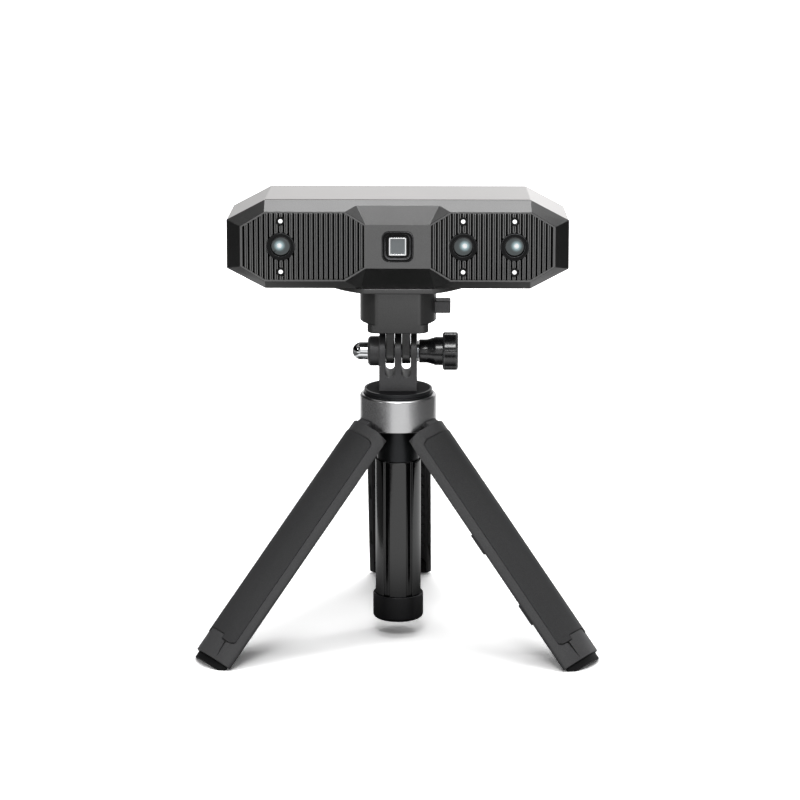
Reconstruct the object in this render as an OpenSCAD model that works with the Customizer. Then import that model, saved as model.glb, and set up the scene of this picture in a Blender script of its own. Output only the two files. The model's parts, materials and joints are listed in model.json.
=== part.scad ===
// Three-d scanner head on a tilting mount and a folding table tripod.
// Modelled round the tripod's column axis, then moved so that the
// origin is the middle of the footprint on the table. +Z is up, -Y is
// the side that the cameras look out of.

/* [Legs] */
// Length of a leg from its hinge pin to the end of the shell
leg_len = 103.4; // [90:0.5:110]
// Outer radius of the leg shells when they are folded round the column
leg_r = 13.7; // [13.1:0.1:14.5]
// Wall of a leg shell
leg_wall = 2; // [1.6:0.1:2.2]
// Half of the arc that one leg shell covers, in degrees
leg_half_angle = 59; // [54:0.5:59.4]
// Angle of the open leg from the vertical
leg_spread = 40.2; // [34:0.2:44]
// Distance from a hinge pin down to the top of the leg shell
shell_drop = 4.5; // [4.5:0.1:6]
// Depth of the bevel inside the top of a leg shell
shell_top_bevel = 0.9; // [0.8:0.1:1.5]
// Corner radius at the top of a leg shell
shell_corner_r = 4; // [1:0.1:4.5]
// Half of the arc that the soft grip covers, in degrees
grip_half_angle = 43.5; // [30:0.5:50]
// Distance from the hinge pin to the top of the grip
grip_start = 8.5; // [8.5:0.1:14]
// Distance from the end of the shell back to the end of the grip
grip_end_margin = 7.5; // [5:0.5:12]
// Corner radius of the grip
grip_corner_r = 2; // [1:0.1:4]
// Length of the shell's tongue between the grip's lower corners
grip_tongue = 1.8; // [1:0.1:3]
// Half of the arc that this tongue covers, in degrees
grip_tongue_angle = 19; // [10:0.5:24]
// Depth of the pocket that the grip lies in
grip_pocket = 0.8; // [0.5:0.1:1]
// Height of the grip above the shell
grip_proud = 0.25; // [0.1:0.05:0.3]
// Height of the cross ribs inside a leg shell
rib_h = 1; // [0.5:0.1:1.1]
// Thickness of a cross rib
rib_t = 1; // [0.6:0.1:1.4]
// Distance from one cross rib to the next
rib_pitch = 6.4; // [5:0.2:9]
// Length of the two locating tabs on a leg's edge
tab_len = 8.4; // [6:0.2:10]
// Length of the foot beyond the end of the shell
foot_len = 2.6; // [2.2:0.1:4]
// Distance from the shell's outside in to the foot's
foot_inset = 1.3; // [0.4:0.1:1.5]
// Depth to which the table plane cuts the foot's inner edge flat
foot_trim = 1.25; // [0.8:0.05:1.5]
// Length of the foot's plug inside the shell
foot_plug = 7; // [4:0.5:10]

/* [Leg hinges] */
// Distance from the column axis to a hinge pin
hinge_r = 9.8; // [9.7:0.05:9.9]
// Radius of a hinge pin
pin_r = 0.8; // [0.6:0.05:0.9]
// Length of a hinge pin
pin_len = 11.8; // [10:0.1:12]
// Radius of the knuckle round a hinge pin
knuckle_r = 1.9; // [1.6:0.05:1.95]
// Width of the neck between knuckle and shell
neck_w = 6.5; // [5:0.1:6.5]
// Radial clearance of a pin in its knuckle
pin_fit = 0.05; // [0.02:0.01:0.08]

/* [Collar and hub] */
// Outer radius of the metal collar
collar_r = 13.6; // [13.5:0.05:13.6]
// Wall of the collar
collar_wall = 1.3; // [1:0.05:1.4]
// Height of the collar above the hinge pins
collar_rise = 7.7; // [7:0.1:9]
// Height of the bevel on the collar's top edge
collar_bevel = 0.6; // [0.3:0.1:0.8]
// Distance from the hinge pins down to the collar's band
band_drop = 0.6; // [0.4:0.05:1]
// Distance from the hinge pins down to the collar's tongues
tongue_drop = 4.2; // [3.8:0.1:4.2]
// Width of the hinge slots in the collar and the hub
slot_w = 7; // [6.8:0.05:7.2]
// Outer radius of the sleeve under the hub
sleeve_r = 7.6; // [7.5:0.05:7.6]
// Height of the step where sleeve and fluted tube meet, above the table
sleeve_end = 65.3; // [60:0.5:70]

/* [Column] */
// Outer radius of the fluted tube
flute_r = 8.2; // [8:0.05:8.4]
// Number of grooves along the fluted tube
flute_count = 6; // [3:1:8]
// Width of a groove
flute_w = 2.2; // [1.5:0.1:2.6]
// Depth of a groove
flute_d = 0.65; // [0.3:0.05:0.8]
// Outer radius of the fixed steel tube
outer_tube_r = 6.9; // [6.8:0.05:6.95]
// Outer radius of the middle tube
middle_tube_r = 5.5; // [5.4:0.05:5.6]
// Outer radius of the inner tube
inner_tube_r = 4.5; // [4.4:0.05:4.55]
// Wall of the fixed steel tube
outer_tube_wall = 0.7; // [0.5:0.05:0.8]
// Wall of the sliding tubes
tube_wall = 0.45; // [0.35:0.05:0.5]
// Radial clearance of a sliding bush in its tube
bush_fit = 0.05; // [0.02:0.01:0.08]
// Length of a sliding bush
bush_len = 4; // [3:0.5:6]
// Length of a guide ring at the top of a tube
guide_len = 3; // [2:0.5:5]
// Outer radius of the end cap
cap_r = 9; // [8.8:0.05:9.3]
// Height of the end cap
cap_h = 9.3; // [8:0.1:12]
// Clear height under the end cap
cap_clear = 6.1; // [4:0.1:9]
// Depth to which the tubes sit in the end cap
cap_socket = 5.4; // [4:0.1:6]
// Radius of the rounded lower edge of the end cap
cap_round = 1.4; // [0.8:0.1:2]

/* [Platform and clamp] */
// Radius of the platform disc
platform_r = 12.1; // [11.5:0.05:12.1]
// Thickness of the platform disc
platform_t = 2.74; // [2.4:0.02:3.2]
// Radius of the rubber pad on the platform
pad_r = 11.3; // [10:0.1:11.5]
// Thickness of the rubber pad
pad_t = 0.8; // [0.5:0.1:1]
// Radius of the camera screw
camera_screw_r = 3.1; // [2.9:0.05:3.15]
// Height of the camera screw above the platform
camera_screw_h = 4.4; // [3.5:0.1:4.5]
// Half width of the adapter with its three prongs
adapter_half_w = 6.7; // [6.6:0.05:7]
// Half depth of the adapter
adapter_half_d = 6.6; // [6.3:0.1:7]
// Height of the tilt axis above the platform
pivot_h = 13.3; // [13:0.1:15]
// Width of a slot between two prongs
prong_slot_w = 3.3; // [3.2:0.02:3.4]
// Width of the middle prong
middle_prong_w = 2.4; // [2.2:0.05:2.5]
// Depth of the slots below the tilt axis
prong_slot_drop = 8.1; // [7:0.1:8.4]
// Width of a finger that stands in a slot
finger_w = 3; // [2.8:0.02:3.1]
// Radius of a finger's round end
finger_r = 4.5; // [4.2:0.1:4.8]
// Radius of the boss that holds the cap nut
boss_r = 5.3; // [5.2:0.05:5.5]
// Length of the boss
boss_len = 4; // [3.6:0.1:5]
// Radius of the cap nut's dome
nut_r = 3.2; // [3:0.05:3.4]
// Radius of the clamp screw
clamp_screw_r = 2.45; // [2.2:0.05:2.5]
// Radial clearance of the clamp screw in its holes
clamp_fit = 0.05; // [0.02:0.01:0.08]
// Width across the corners of the cap nut, halved
nut_hex_r = 4.4; // [4:0.1:4.4]
// Radius of the knob's lobed head
knob_r = 6.8; // [6:0.1:8]
// Length of the knob's lobed head
knob_head_len = 5.5; // [4:0.1:7]
// Length of the knob's neck and flare
knob_neck_len = 9.1; // [8:0.1:11]
// Radius of the knob's neck
knob_neck_r = 4.2; // [3.6:0.1:4.6]
// Radius of the knob's flare
knob_flare_r = 5.1; // [4.7:0.1:5.6]
// Number of lobes round the knob
knob_lobes = 6; // [4:1:9]
// Radius of the notches between the lobes
knob_notch_r = 0.5; // [0.3:0.05:0.9]
// Turn of the notches from straight up, in degrees
knob_turn = 13; // [0:1:60]
// Thickness of the washer under the knob
washer_t = 0.5; // [0.3:0.1:0.8]

/* [Mount block] */
// Radius of the round block
block_r = 13.5; // [13.3:0.1:14.5]
// Distance from the axis to the block's flat front
block_flat = 11.2; // [11:0.1:11.8]
// Height of the round block
block_h = 12; // [12:0.1:13.5]
// Half width of the finger plate under the block
plate_half_w = 10.8; // [10.4:0.1:11.4]
// Thickness of the finger plate
plate_t = 3; // [2.6:0.1:4]
// Corner radius of the finger plate
plate_corner_r = 3.5; // [2:0.1:4]
// Height of the finger plate's underside above the tilt axis
plate_rise = 8.9; // [8.6:0.1:10]
// Width of the release latch across the block
latch_w = 6.4; // [5:0.1:6.4]
// Height of the release latch
latch_t = 4.3; // [3.6:0.1:4.3]
// Distance from the axis to the outer end of the release latch
latch_reach = 18.6; // [17:0.1:20]
// Height of the latch's underside above the finger plate
latch_rise = 2.6; // [2.6:0.05:2.9]
// Travel of the release latch
latch_travel = 1.2; // [1.1:0.05:1.25]
// Radius of the quick-release spigot
spigot_r = 6.6; // [6.4:0.05:6.7]
// Depth of the spigot's groove
groove_d = 1.1; // [0.9:0.05:1.1]
// Thickness of the mount flange
flange_t = 1.9; // [1.4:0.1:2.4]
// Half width of the mount flange
flange_half_w = 24; // [21:0.5:26]
// Radius of the flange's long front and rear curves
flange_curve_r = 27.7; // [26:0.1:32]
// Half depth of the flange where its curves would meet the axis
flange_bulge = 16.8; // [16:0.1:18]
// Distance from the axis to the flange's flat front
flange_flat = 14.3; // [13.8:0.1:15]

/* [Scanner head] */
// Width of the scanner head
head_w = 120; // [116:0.5:128]
// Height of the scanner head
head_h = 31.8; // [31:0.2:35]
// Width taken off each corner of the octagonal outline
corner_w = 13.5; // [12:0.5:15]
// Height taken off each corner of the octagonal outline
corner_h = 7.2; // [6.4:0.2:8]
// Distance from the axis forward to the joint of bezel and shell
joint_y = 13.1; // [12:0.1:14]
// Depth of the rear shell up to its back bevel
shell_depth = 25.2; // [22:0.2:27]
// Inset of the rear shell's sides at its back
shell_inset = 1.4; // [0.5:0.1:2]
// Inset of the rear shell's top and bottom at its back
shell_inset_z = 0.2; // [0.1:0.1:0.8]
// Depth of the bevel round the back
back_bevel = 1.2; // [0.8:0.1:2]
// Wall of the rear shell
shell_wall = 1.6; // [1.2:0.1:2]
// Depth of the front bezel
bezel_depth = 4.4; // [4.2:0.1:5.2]
// Wall of the front bezel
bezel_wall = 2.2; // [2:0.1:2.4]
// Width of the bezel's side bevels
side_bevel = 4.9; // [4:0.1:6]
// Height of the flat front face
face_h = 25; // [24.4:0.1:26]
// Width taken off each corner of the flat front face
face_corner_w = 8.5; // [7:0.5:10]
// Height taken off each corner of the flat front face
face_corner_h = 5.3; // [4.5:0.1:6]
// Half width of the plain face round the projector
center_half_w = 11.1; // [10:0.1:12]
// Half height of the plain face round the projector
center_half_h = 7.8; // [7.4:0.1:8.4]
// Half width of the ribbed panels' inner corners, from the middle
notch_half_w = 18.5; // [17.5:0.1:20]
// Width of one step of the ribbed pattern
rib_step = 1.743; // [1.5:0.01:2.2]
// Width of a groove of the ribbed pattern
rib_groove_w = 0.7; // [0.5:0.05:0.9]
// Depth of a groove of the ribbed pattern
rib_groove_d = 0.6; // [0.3:0.05:0.9]
// Border round a ribbed panel
rib_border = 0.7; // [0.5:0.1:1.2]

/* [Optics] */
// Distance from the middle to each outer camera
outer_camera_x = 40.9; // [39:0.1:42]
// Distance from the middle to the inner camera
inner_camera_x = 22.9; // [22:0.1:25]
// Outer radius of a camera ring
ring_r = 4.8; // [4.4:0.05:5]
// Height of a camera ring in front of the face
ring_proud = 0.4; // [0.2:0.1:0.8]
// Radius of a camera window
window_r = 3.5; // [3.2:0.05:3.7]
// Thickness of a camera window
window_t = 0.8; // [0.5:0.1:1]
// Depth of a camera window below the front of its ring
window_recess = 0.9; // [0.6:0.1:1.2]
// Width of a camera module
module_w = 8.5; // [7:0.1:9]
// Distance from a camera up and down to its fill lights
light_offset = 9.05; // [8.6:0.05:9.3]
// Radius of a fill light lens
light_r = 1.4; // [1:0.05:1.6]
// Outer width of the projector frame
frame_w = 10.9; // [10:0.1:11.5]
// Corner radius of the projector frame
frame_corner_r = 2.45; // [1.5:0.05:3]
// Width of the bright trim round the projector window
trim_w = 6; // [5.6:0.1:6.4]
// Height of the bright trim round the projector window
trim_h = 6.4; // [6:0.1:6.8]
// Width of the trim's rim
trim_rim = 0.45; // [0.3:0.05:0.5]
// Width of the projector module
projector_w = 15; // [13:0.5:17]
// Distance from an outer camera out to the end of the optics bracket
bracket_overhang = 9.5; // [9:0.1:9.7]
// Height of the optics bracket
bracket_h = 10; // [8:0.5:10.5]
// Thickness of the optics bracket
bracket_t = 2; // [1.5:0.1:2.4]
// Distance from the joint back to the optics bracket
bracket_y = 8.4; // [8:0.1:9.4]
// Half length of the main board
board_half_w = 42; // [38:0.5:44]
// Height of the main board
board_h = 18; // [16:0.5:18]
// Thickness of the boards
board_t = 1.6; // [1.2:0.1:2]
// Length of the processor on the main board
processor_w = 12; // [8:0.5:14]
// Length of the memory on the main board
memory_w = 9; // [6:0.5:10]
// Length of the connector on the main board
connector_w = 14; // [10:0.5:16]
// Width of the cable socket's shell
socket_w = 9; // [8.9:0.05:9.2]
// Height of the cable socket's shell
socket_h = 3.2; // [3.1:0.05:3.4]
// Depth of the cable socket
socket_d = 7.3; // [6.6:0.1:7.6]

/* [Fasteners] */
// Distance from the head's side to the case screws
case_screw_inset = 7; // [6.6:0.1:7.4]
// Distance from the head's middle up and down to the case screws
case_screw_dz = 8; // [7.5:0.1:8.2]
// Radius of the case screws
case_screw_r = 0.85; // [0.7:0.05:0.95]
// Radius of a case screw's head
case_head_r = 1.9; // [1.6:0.05:2]
// Height of a case screw's head
case_head_h = 1.2; // [0.9:0.05:1.3]
// Radius of the posts round the case screws
case_post_r = 2.4; // [2.2:0.05:2.5]
// Radius of the small screws in bracket, board and finger plate
small_screw_r = 0.8; // [0.65:0.05:0.85]
// Radius of a small screw's head
small_head_r = 1.3; // [1.2:0.05:1.4]
// Height of a small screw's head
small_head_h = 1.1; // [0.8:0.1:1.2]
// Radius of the posts round the small screws
small_post_r = 1.8; // [1.5:0.05:2]
// Length of thread that the bracket screws hold by
bracket_screw_bite = 5; // [3:0.5:6]
// Length of thread that the board screws hold by
board_screw_bite = 3; // [2:0.5:3.5]
// Length of thread that the finger plate's screws hold by
plate_screw_bite = 4.4; // [3:0.2:5]
// Distance from the axis sideways to the finger plate's screws
plate_screw_x = 6; // [5.5:0.1:6.2]
// Distance from the axis forward and back to the finger plate's screws
plate_screw_y = 9.4; // [9.3:0.05:9.5]
// Radius of the screw that joins mount and head
mount_screw_r = 3.15; // [2.8:0.05:3.2]
// Radius of the mount screw's head
mount_head_r = 4.2; // [3.9:0.05:4.3]
// Height of the mount screw's head
mount_head_h = 2.4; // [2:0.1:3]
// Length of the threaded insert in the head
insert_len = 5.6; // [5.2:0.1:6]
// Wall of the threaded inserts
insert_wall = 1; // [0.8:0.1:1.2]

/* [Hidden] */

// General clearances, a margin for clean cuts and the thinnest slice
gap = 0.1;
thread_fit = 0.05;
cut = 1;
slice = 0.01;
$fn = 72;
leg_fn = 120;

// Heights above the table
shell_r = leg_r - grip_proud;
foot_r = leg_r - foot_inset;
foot_half_angle = leg_half_angle - 3;
tab_angle = 2.6;
tab_step = 0.3;
tab_t = 1.1;
notch_fit = 0.4;
foot_end = leg_len + foot_len;
foot_chord = foot_r * cos(foot_half_angle) - hinge_r;
hinge_z = foot_end * cos(leg_spread) - foot_chord * sin(leg_spread) - foot_trim;
collar_top = hinge_z + collar_rise;
band_bottom = hinge_z - band_drop;
tongue_bottom = hinge_z - tongue_drop;
hub_top = collar_top - 1.1;
platform_bottom = hub_top + 0.3;
platform_top = platform_bottom + platform_t;
pivot_z = platform_top + pivot_h;
plate_z = pivot_z + plate_rise;
block_z = plate_z + plate_t;
block_top = block_z + block_h;
head_z = block_top + flange_t;
cap_top = cap_clear + cap_h;
cap_floor = cap_top - cap_socket;
middle_end = cap_floor + 4.4;
inner_end = middle_end + 1.2;
spigot_len = 5.7;

// Radii that follow from the fits
collar_bore_r = collar_r - collar_wall;
hub_r = collar_bore_r - 0.05;
leg_inner_r = leg_r - leg_wall;
outer_tube_bore = outer_tube_r - outer_tube_wall;
middle_tube_bore = middle_tube_r - tube_wall;
inner_tube_bore = inner_tube_r - tube_wall;
middle_bush_r = outer_tube_bore - bush_fit;
inner_bush_r = middle_tube_bore - bush_fit;
clamp_hole_r = clamp_screw_r + clamp_fit;
latch_hole_r = spigot_r + 0.25;
latch_disc_r = latch_hole_r + 1.35;
groove_r = spigot_r - groove_d;
latch_z = plate_z + plate_t + latch_rise;
cavity_r = latch_disc_r + 0.2;
spring_r = 1.4;
spring_seat = 1.7 - block_r;

// Directions of the legs round the column, from +X
left_azimuth = 210;
right_azimuth = 330;
rear_azimuth = 90;

// The footprint's middle lies behind the column, because one leg points back
function reach_out(r, a, end) = let (rad = r * cos(a) - hinge_r)
  hinge_r + rad * cos(leg_spread)
  + min(end, (hinge_z + rad * sin(leg_spread)) / cos(leg_spread)) * sin(leg_spread);
function reach_front(r, a, end) = reach_out(r, a, end) * sin(30) + r * sin(a) * cos(30);
footprint_back = reach_out(foot_r, 0, foot_end);
footprint_front = max([for (a = [0 : 0.5 : leg_half_angle]) max(
  reach_front(foot_r, min(a, foot_half_angle), foot_end), reach_front(shell_r, a, leg_len))]);
axis_y = (footprint_front - footprint_back) / 2;

// Scanner head outline, measured from the middle of the joint's lower edge
head_half_w = head_w / 2;
head_mid = head_h / 2;
face_half_w = head_half_w - side_bevel;
face_half_h = face_h / 2;
bezel_floor = bezel_depth - bezel_wall;
case_screw_x = head_half_w - case_screw_inset;
bracket_half_w = outer_camera_x + bracket_overhang;
bracket_screw_x = bracket_half_w - small_post_r - 0.6;
bracket_back = bracket_y + bracket_t;
board_screw_x = board_half_w - small_post_r - 1.2;
board_screw_dz = board_h / 2 - small_post_r - 1.2;
back_y = shell_depth + back_bevel;
back_wall_y = back_y - shell_wall;
board_y = back_y - socket_d - board_t;
board_back = board_y + board_t;
top_slope = bezel_depth / (head_mid - face_half_h);
notch_top_drop = 1.6;
notch_top_w = center_half_w + 3.4;
notch_top_z = head_h - notch_top_drop;
notch_top_y = notch_top_drop * top_slope;
notch_foot_w = center_half_w + 1.9;
camera_xs = [-outer_camera_x, inner_camera_x, outer_camera_x];
ring_front = -bezel_depth - ring_proud;
window_front = ring_front + window_recess;
window_back = window_front + window_t;
barrel_r = window_r - 0.4;
head_insert_r = mount_screw_r + thread_fit + insert_wall;
adapter_insert_r = camera_screw_r + thread_fit + insert_wall;
trim_corner_r = 0.4;
screw_end = adapter_half_w + knob_neck_len + 3;
adapter_insert_len = 4.6;
projector_glass_y = 0.6 - bezel_depth;
finger_x = (middle_prong_w + prong_slot_w) / 2;

// Helpers

// Cylinder along +X from x0 to x1
module rod_x(r, x0, x1) {
  translate([x0, 0, 0]) rotate([0, 90, 0]) cylinder(r = r, h = x1 - x0);
}

// Cone along +X from radius r0 at x0 to radius r1 at x1
module cone_x(r0, r1, x0, x1) {
  translate([x0, 0, 0]) rotate([0, 90, 0]) cylinder(r1 = r0, r2 = r1, h = x1 - x0);
}

// Cylinder along Y from y0 to y1
module rod_y(r, y0, y1) {
  translate([0, y1, 0]) rotate([90, 0, 0]) cylinder(r = r, h = y1 - y0);
}

// Tube along Z from z0 to z1
module tube(r_out, r_in, z0, z1) {
  translate([0, 0, z0]) difference() {
    cylinder(r = r_out, h = z1 - z0);
    translate([0, 0, -cut]) cylinder(r = r_in, h = z1 - z0 + 2 * cut);
  }
}

// Box given by its two opposite corners
module box(low, high) {
  translate(low) cube(high - low);
}

// The column frame, moved to the footprint's middle
module on_column() {
  translate([0, axis_y, 0]) children();
}

// The tilt axis
module on_pivot() {
  on_column() translate([0, 0, pivot_z]) children();
}

// The scanner head's own frame: joint plane, middle of its lower edge
module on_head() {
  on_column() translate([0, -joint_y, head_z]) children();
}

// One camera's axis in the head
module on_optic(x, dz = 0) {
  on_head() translate([x, 0, head_mid + dz]) children();
}

// A leg's frame: hinge pin at the origin, +X outward, leg hanging down
module on_leg(azimuth) {
  on_column() rotate([0, 0, azimuth]) translate([hinge_r, 0, hinge_z])
    rotate([0, -leg_spread, 0]) children();
}

// Head outline, an octagon in X and Z, drawn in X and Y
module octagon(half_w, low, high, cw, ch) {
  polygon([
    [-half_w + cw, low], [half_w - cw, low], [half_w, low + ch], [half_w, high - ch],
    [half_w - cw, high], [-half_w + cw, high], [-half_w, high - ch], [-half_w, low + ch]
  ]);
}

// Extrude an X-Z drawing along Y from y0 to y1
module plate_y(y0, y1) {
  translate([0, y1, 0]) rotate([90, 0, 0]) linear_extrude(y1 - y0) children();
}

// Rounded rectangle of full size w by h
module rounded_rect(w, h, r) {
  for (sx = [-1, 1], sy = [-1, 1])
    translate([sx * (w / 2 - r), sy * (h / 2 - r)]) circle(r);
  square([w - 2 * r, h], center = true);
  square([w, h - 2 * r], center = true);
}

// The screws' places in the head
module at_case_screws() {
  for (sx = [-1, 1], sz = [-1, 1])
    on_optic(sx * case_screw_x, sz * case_screw_dz) children();
}

module at_bracket_screws() {
  for (sx = [-1, 1]) on_optic(sx * bracket_screw_x) children();
}

module at_board_screws() {
  for (sx = [-1, 1], sz = [-1, 1])
    on_optic(sx * board_screw_x, sz * board_screw_dz) children();
}

// The finger plate's screws, seen from the plate's underside
module at_plate_screws() {
  for (sx = [-1, 1], sy = [-1, 1])
    translate([sx * plate_screw_x, sy * plate_screw_y, plate_z]) children();
}

// Solid through a set of corner points
module gem(points) {
  hull() polyhedron(points, [[for (i = [0 : len(points) - 1]) i]]);
}

// Scanner head

// The shell's walls: a tapering octagon with a bevelled back, hollow inside
module shell_walls() {
  difference() {
    hull() {
      plate_y(0, slice) octagon(head_half_w, 0, head_h, corner_w, corner_h);
      plate_y(shell_depth - slice, shell_depth)
        octagon(head_half_w - shell_inset, shell_inset_z, head_h - shell_inset_z, corner_w, corner_h);
      plate_y(back_y - slice, back_y)
        octagon(head_half_w - shell_inset - back_bevel, shell_inset_z + back_bevel,
                head_h - shell_inset_z - back_bevel, corner_w, corner_h);
    }
    hull() {
      plate_y(-cut, -cut + slice)
        octagon(head_half_w - shell_wall, shell_wall, head_h - shell_wall, corner_w, corner_h);
      plate_y(back_wall_y - slice, back_wall_y)
        octagon(head_half_w - shell_wall - shell_inset, shell_wall + shell_inset_z,
                head_h - shell_wall - shell_inset_z, corner_w, corner_h);
    }
  }
}

module rear_shell() {
  socket_clear = 2 * gap;
  color("#c9cbcd") difference() {
    union() {
      on_head() shell_walls();
      at_case_screws() rod_y(case_post_r, 0, back_wall_y + gap);
      at_bracket_screws() rod_y(small_post_r, bracket_back, back_wall_y + gap);
      at_board_screws() rod_y(small_post_r, board_back, back_wall_y + gap);
      on_head() translate([0, joint_y, shell_wall - gap])
        cylinder(r = head_insert_r + shell_wall, h = insert_len - shell_wall + 4 * gap);
    }
    at_case_screws() {
      rod_y(case_screw_r + gap, -cut, back_y + cut);
      rod_y(case_head_r + gap, back_y - case_head_h - 2 * gap, back_y + cut);
    }
    at_bracket_screws() rod_y(small_screw_r + thread_fit, bracket_back - cut, back_wall_y);
    at_board_screws() rod_y(small_screw_r + thread_fit, board_back - cut, back_wall_y);
    on_head() translate([0, joint_y, -cut]) cylinder(r = head_insert_r, h = insert_len + cut);
    on_optic(0) plate_y(back_wall_y - cut, back_y + cut)
      rounded_rect(socket_w + 2 * socket_clear, socket_h + 2 * socket_clear, socket_h / 2);
  }
}

// One half of the bezel: the raised ribbed panel and its bevels
module bezel_wing() {
  top = head_mid + face_half_h;
  low = head_mid - face_half_h;
  gem([
    [face_half_w, -bezel_depth, low + face_corner_h],
    [face_half_w, -bezel_depth, top - face_corner_h],
    [face_half_w - face_corner_w, -bezel_depth, top],
    [notch_half_w, -bezel_depth, top],
    [center_half_w, -bezel_depth, head_mid + center_half_h],
    [center_half_w, -bezel_depth, head_mid - center_half_h],
    [notch_half_w, -bezel_depth, low],
    [face_half_w - face_corner_w, -bezel_depth, low],
    [head_half_w, 0, corner_h],
    [head_half_w, 0, head_h - corner_h],
    [head_half_w - corner_w, 0, head_h],
    [head_half_w - corner_w, 0, 0],
    [notch_top_w, -notch_top_y, notch_top_z],
    [notch_top_w, 0, head_h],
    [notch_foot_w, 0, 0],
    [center_half_w, 0, head_mid]
  ]);
}

// The sloped middle of the bezel round the projector
module bezel_middle() {
  gem([for (sx = [-1, 1]) each [
    [sx * center_half_w, -bezel_depth, head_mid + center_half_h],
    [sx * center_half_w, -bezel_depth, head_mid - center_half_h],
    [sx * notch_top_w, -notch_top_y, notch_top_z],
    [sx * notch_top_w, 0, head_h],
    [sx * notch_foot_w, 0, 0]
  ]]);
}

// Outline of a ribbed panel inside its border
module rib_field() {
  b = rib_border;
  polygon([
    [face_half_w - b, face_corner_h - face_half_h + b / 2],
    [face_half_w - b, face_half_h - face_corner_h - b / 2],
    [face_half_w - face_corner_w - b / 2, face_half_h - b],
    [notch_half_w + b / 2, face_half_h - b],
    [center_half_w + b, center_half_h - b / 2],
    [center_half_w + b, b / 2 - center_half_h],
    [notch_half_w + b / 2, b - face_half_h],
    [face_half_w - face_corner_w - b / 2, b - face_half_h]
  ]);
}

// Space behind the bezel's face: one pocket in each wing and one in the middle
module bezel_pockets() {
  low = center_half_w + 1.7;
  high = face_half_w - 0.3;
  half_h = face_half_h - 0.5;
  for (sx = [-1, 1])
    on_optic(sx * (high + low) / 2) plate_y(-bezel_floor, cut)
      octagon((high - low) / 2, -half_h, half_h, case_post_r + 3.6, 4);
  on_optic(0) plate_y(-bezel_floor, cut)
    square([2 * notch_half_w, 2 * center_half_h + 4], center = true);
}

module front_bezel() {
  rib_count = floor((face_half_w - center_half_w) / rib_step);
  post_floor = -bezel_floor + 0.6;
  color("#55575a") {
    difference() {
      on_head() {
        bezel_wing();
        mirror([1, 0, 0]) bezel_wing();
        bezel_middle();
      }
      bezel_pockets();
      on_optic(0) plate_y(-bezel_depth - cut, rib_groove_d - bezel_depth)
        for (sx = [-1, 1]) scale([sx, 1]) intersection() {
          rib_field();
          for (i = [0 : rib_count])
            translate([center_half_w + (i + 0.5) * rib_step - rib_groove_w / 2, -face_half_h])
              square([rib_groove_w, face_h]);
        }
      for (x = camera_xs) {
        on_optic(x) rod_y(ring_r + gap / 2, -bezel_depth - cut, 0);
        for (sz = [-1, 1])
          on_optic(x, sz * light_offset) rod_y(light_r + gap / 2, -bezel_depth - cut, 0);
      }
      on_optic(0) plate_y(-bezel_depth - cut, 0)
        rounded_rect(frame_w + gap, frame_w + gap, frame_corner_r);
      at_case_screws() rod_y(case_screw_r + thread_fit, post_floor, cut);
    }
    at_case_screws() difference() {
      rod_y(case_post_r, -bezel_floor - gap, 0);
      rod_y(case_screw_r + thread_fit, post_floor, cut);
    }
  }
}

// Ring that frames one camera and carries its window on a lip
module camera_ring(x) {
  color("#1c1c1e") on_optic(x) difference() {
    rod_y(ring_r, ring_front, -bezel_floor - gap);
    rod_y(window_r + gap / 2, ring_front - cut, window_back);
    rod_y(barrel_r + gap, ring_front - cut, 0);
  }
}

module camera_windows() {
  color("#5f7578") for (x = camera_xs) on_optic(x) rod_y(window_r, window_front, window_back);
}

// Camera module: square sensor housing with a round lens barrel
module camera_module(x) {
  housing_y = 2.9;
  half = module_w / 2;
  color("#26272a") on_optic(x) {
    rod_y(barrel_r, window_back, housing_y + gap);
    box([-half, housing_y, -half], [half, bracket_y, half]);
  }
}

module fill_light_lenses() {
  dome_back = 0.9;
  dome_r = sqrt(light_r * light_r + dome_back * dome_back);
  color("#e8ecef") for (x = camera_xs, sz = [-1, 1])
    on_optic(x, sz * light_offset) translate([0, -bezel_floor, 0]) rotate([90, 0, 0])
      rotate_extrude() {
        square([light_r, bezel_wall - gap]);
        intersection() {
          translate([0, bezel_wall - dome_back]) circle(dome_r);
          square([light_r, bezel_wall + dome_r]);
        }
      }
}

// Each camera's two lights stand on one small board round the barrel
module fill_light_boards() {
  half_w = 3.9;
  half_h = light_offset + 2;
  front = -0.6;
  chip = 1;
  color("#1d4a33") for (x = camera_xs) on_optic(x) difference() {
    union() {
      box([-half_w, front, -half_h], [half_w, front + 1, half_h]);
      for (sz = [-1, 1])
        box([-chip, gap - bezel_floor, sz * light_offset - chip],
            [chip, front + gap, sz * light_offset + chip]);
    }
    rod_y(barrel_r + gap, -cut, cut);
  }
}

module projector_frame() {
  front = -bezel_depth - 0.3;
  rim = 1.1;
  color("#17181a") on_optic(0) difference() {
    plate_y(front, -bezel_floor - gap) rounded_rect(frame_w, frame_w, frame_corner_r);
    plate_y(front - cut, front + 0.8)
      rounded_rect(frame_w - 2 * rim, frame_w - 2 * rim, frame_corner_r - rim / 2);
    plate_y(front, 0) rounded_rect(trim_w + gap, trim_h + gap, trim_corner_r);
  }
}

module projector_trim() {
  color("#e6e7e8") on_optic(0) difference() {
    plate_y(0.2 - bezel_depth, -bezel_floor - gap) rounded_rect(trim_w, trim_h, trim_corner_r);
    plate_y(-bezel_depth - cut, 0)
      rounded_rect(trim_w - 2 * trim_rim, trim_h - 2 * trim_rim, trim_corner_r / 2);
  }
}

module projector_window() {
  color("#8f979c") on_optic(0) plate_y(projector_glass_y, projector_glass_y + 0.6)
    rounded_rect(trim_w - 2 * trim_rim, trim_h - 2 * trim_rim, trim_corner_r / 2);
}

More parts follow.
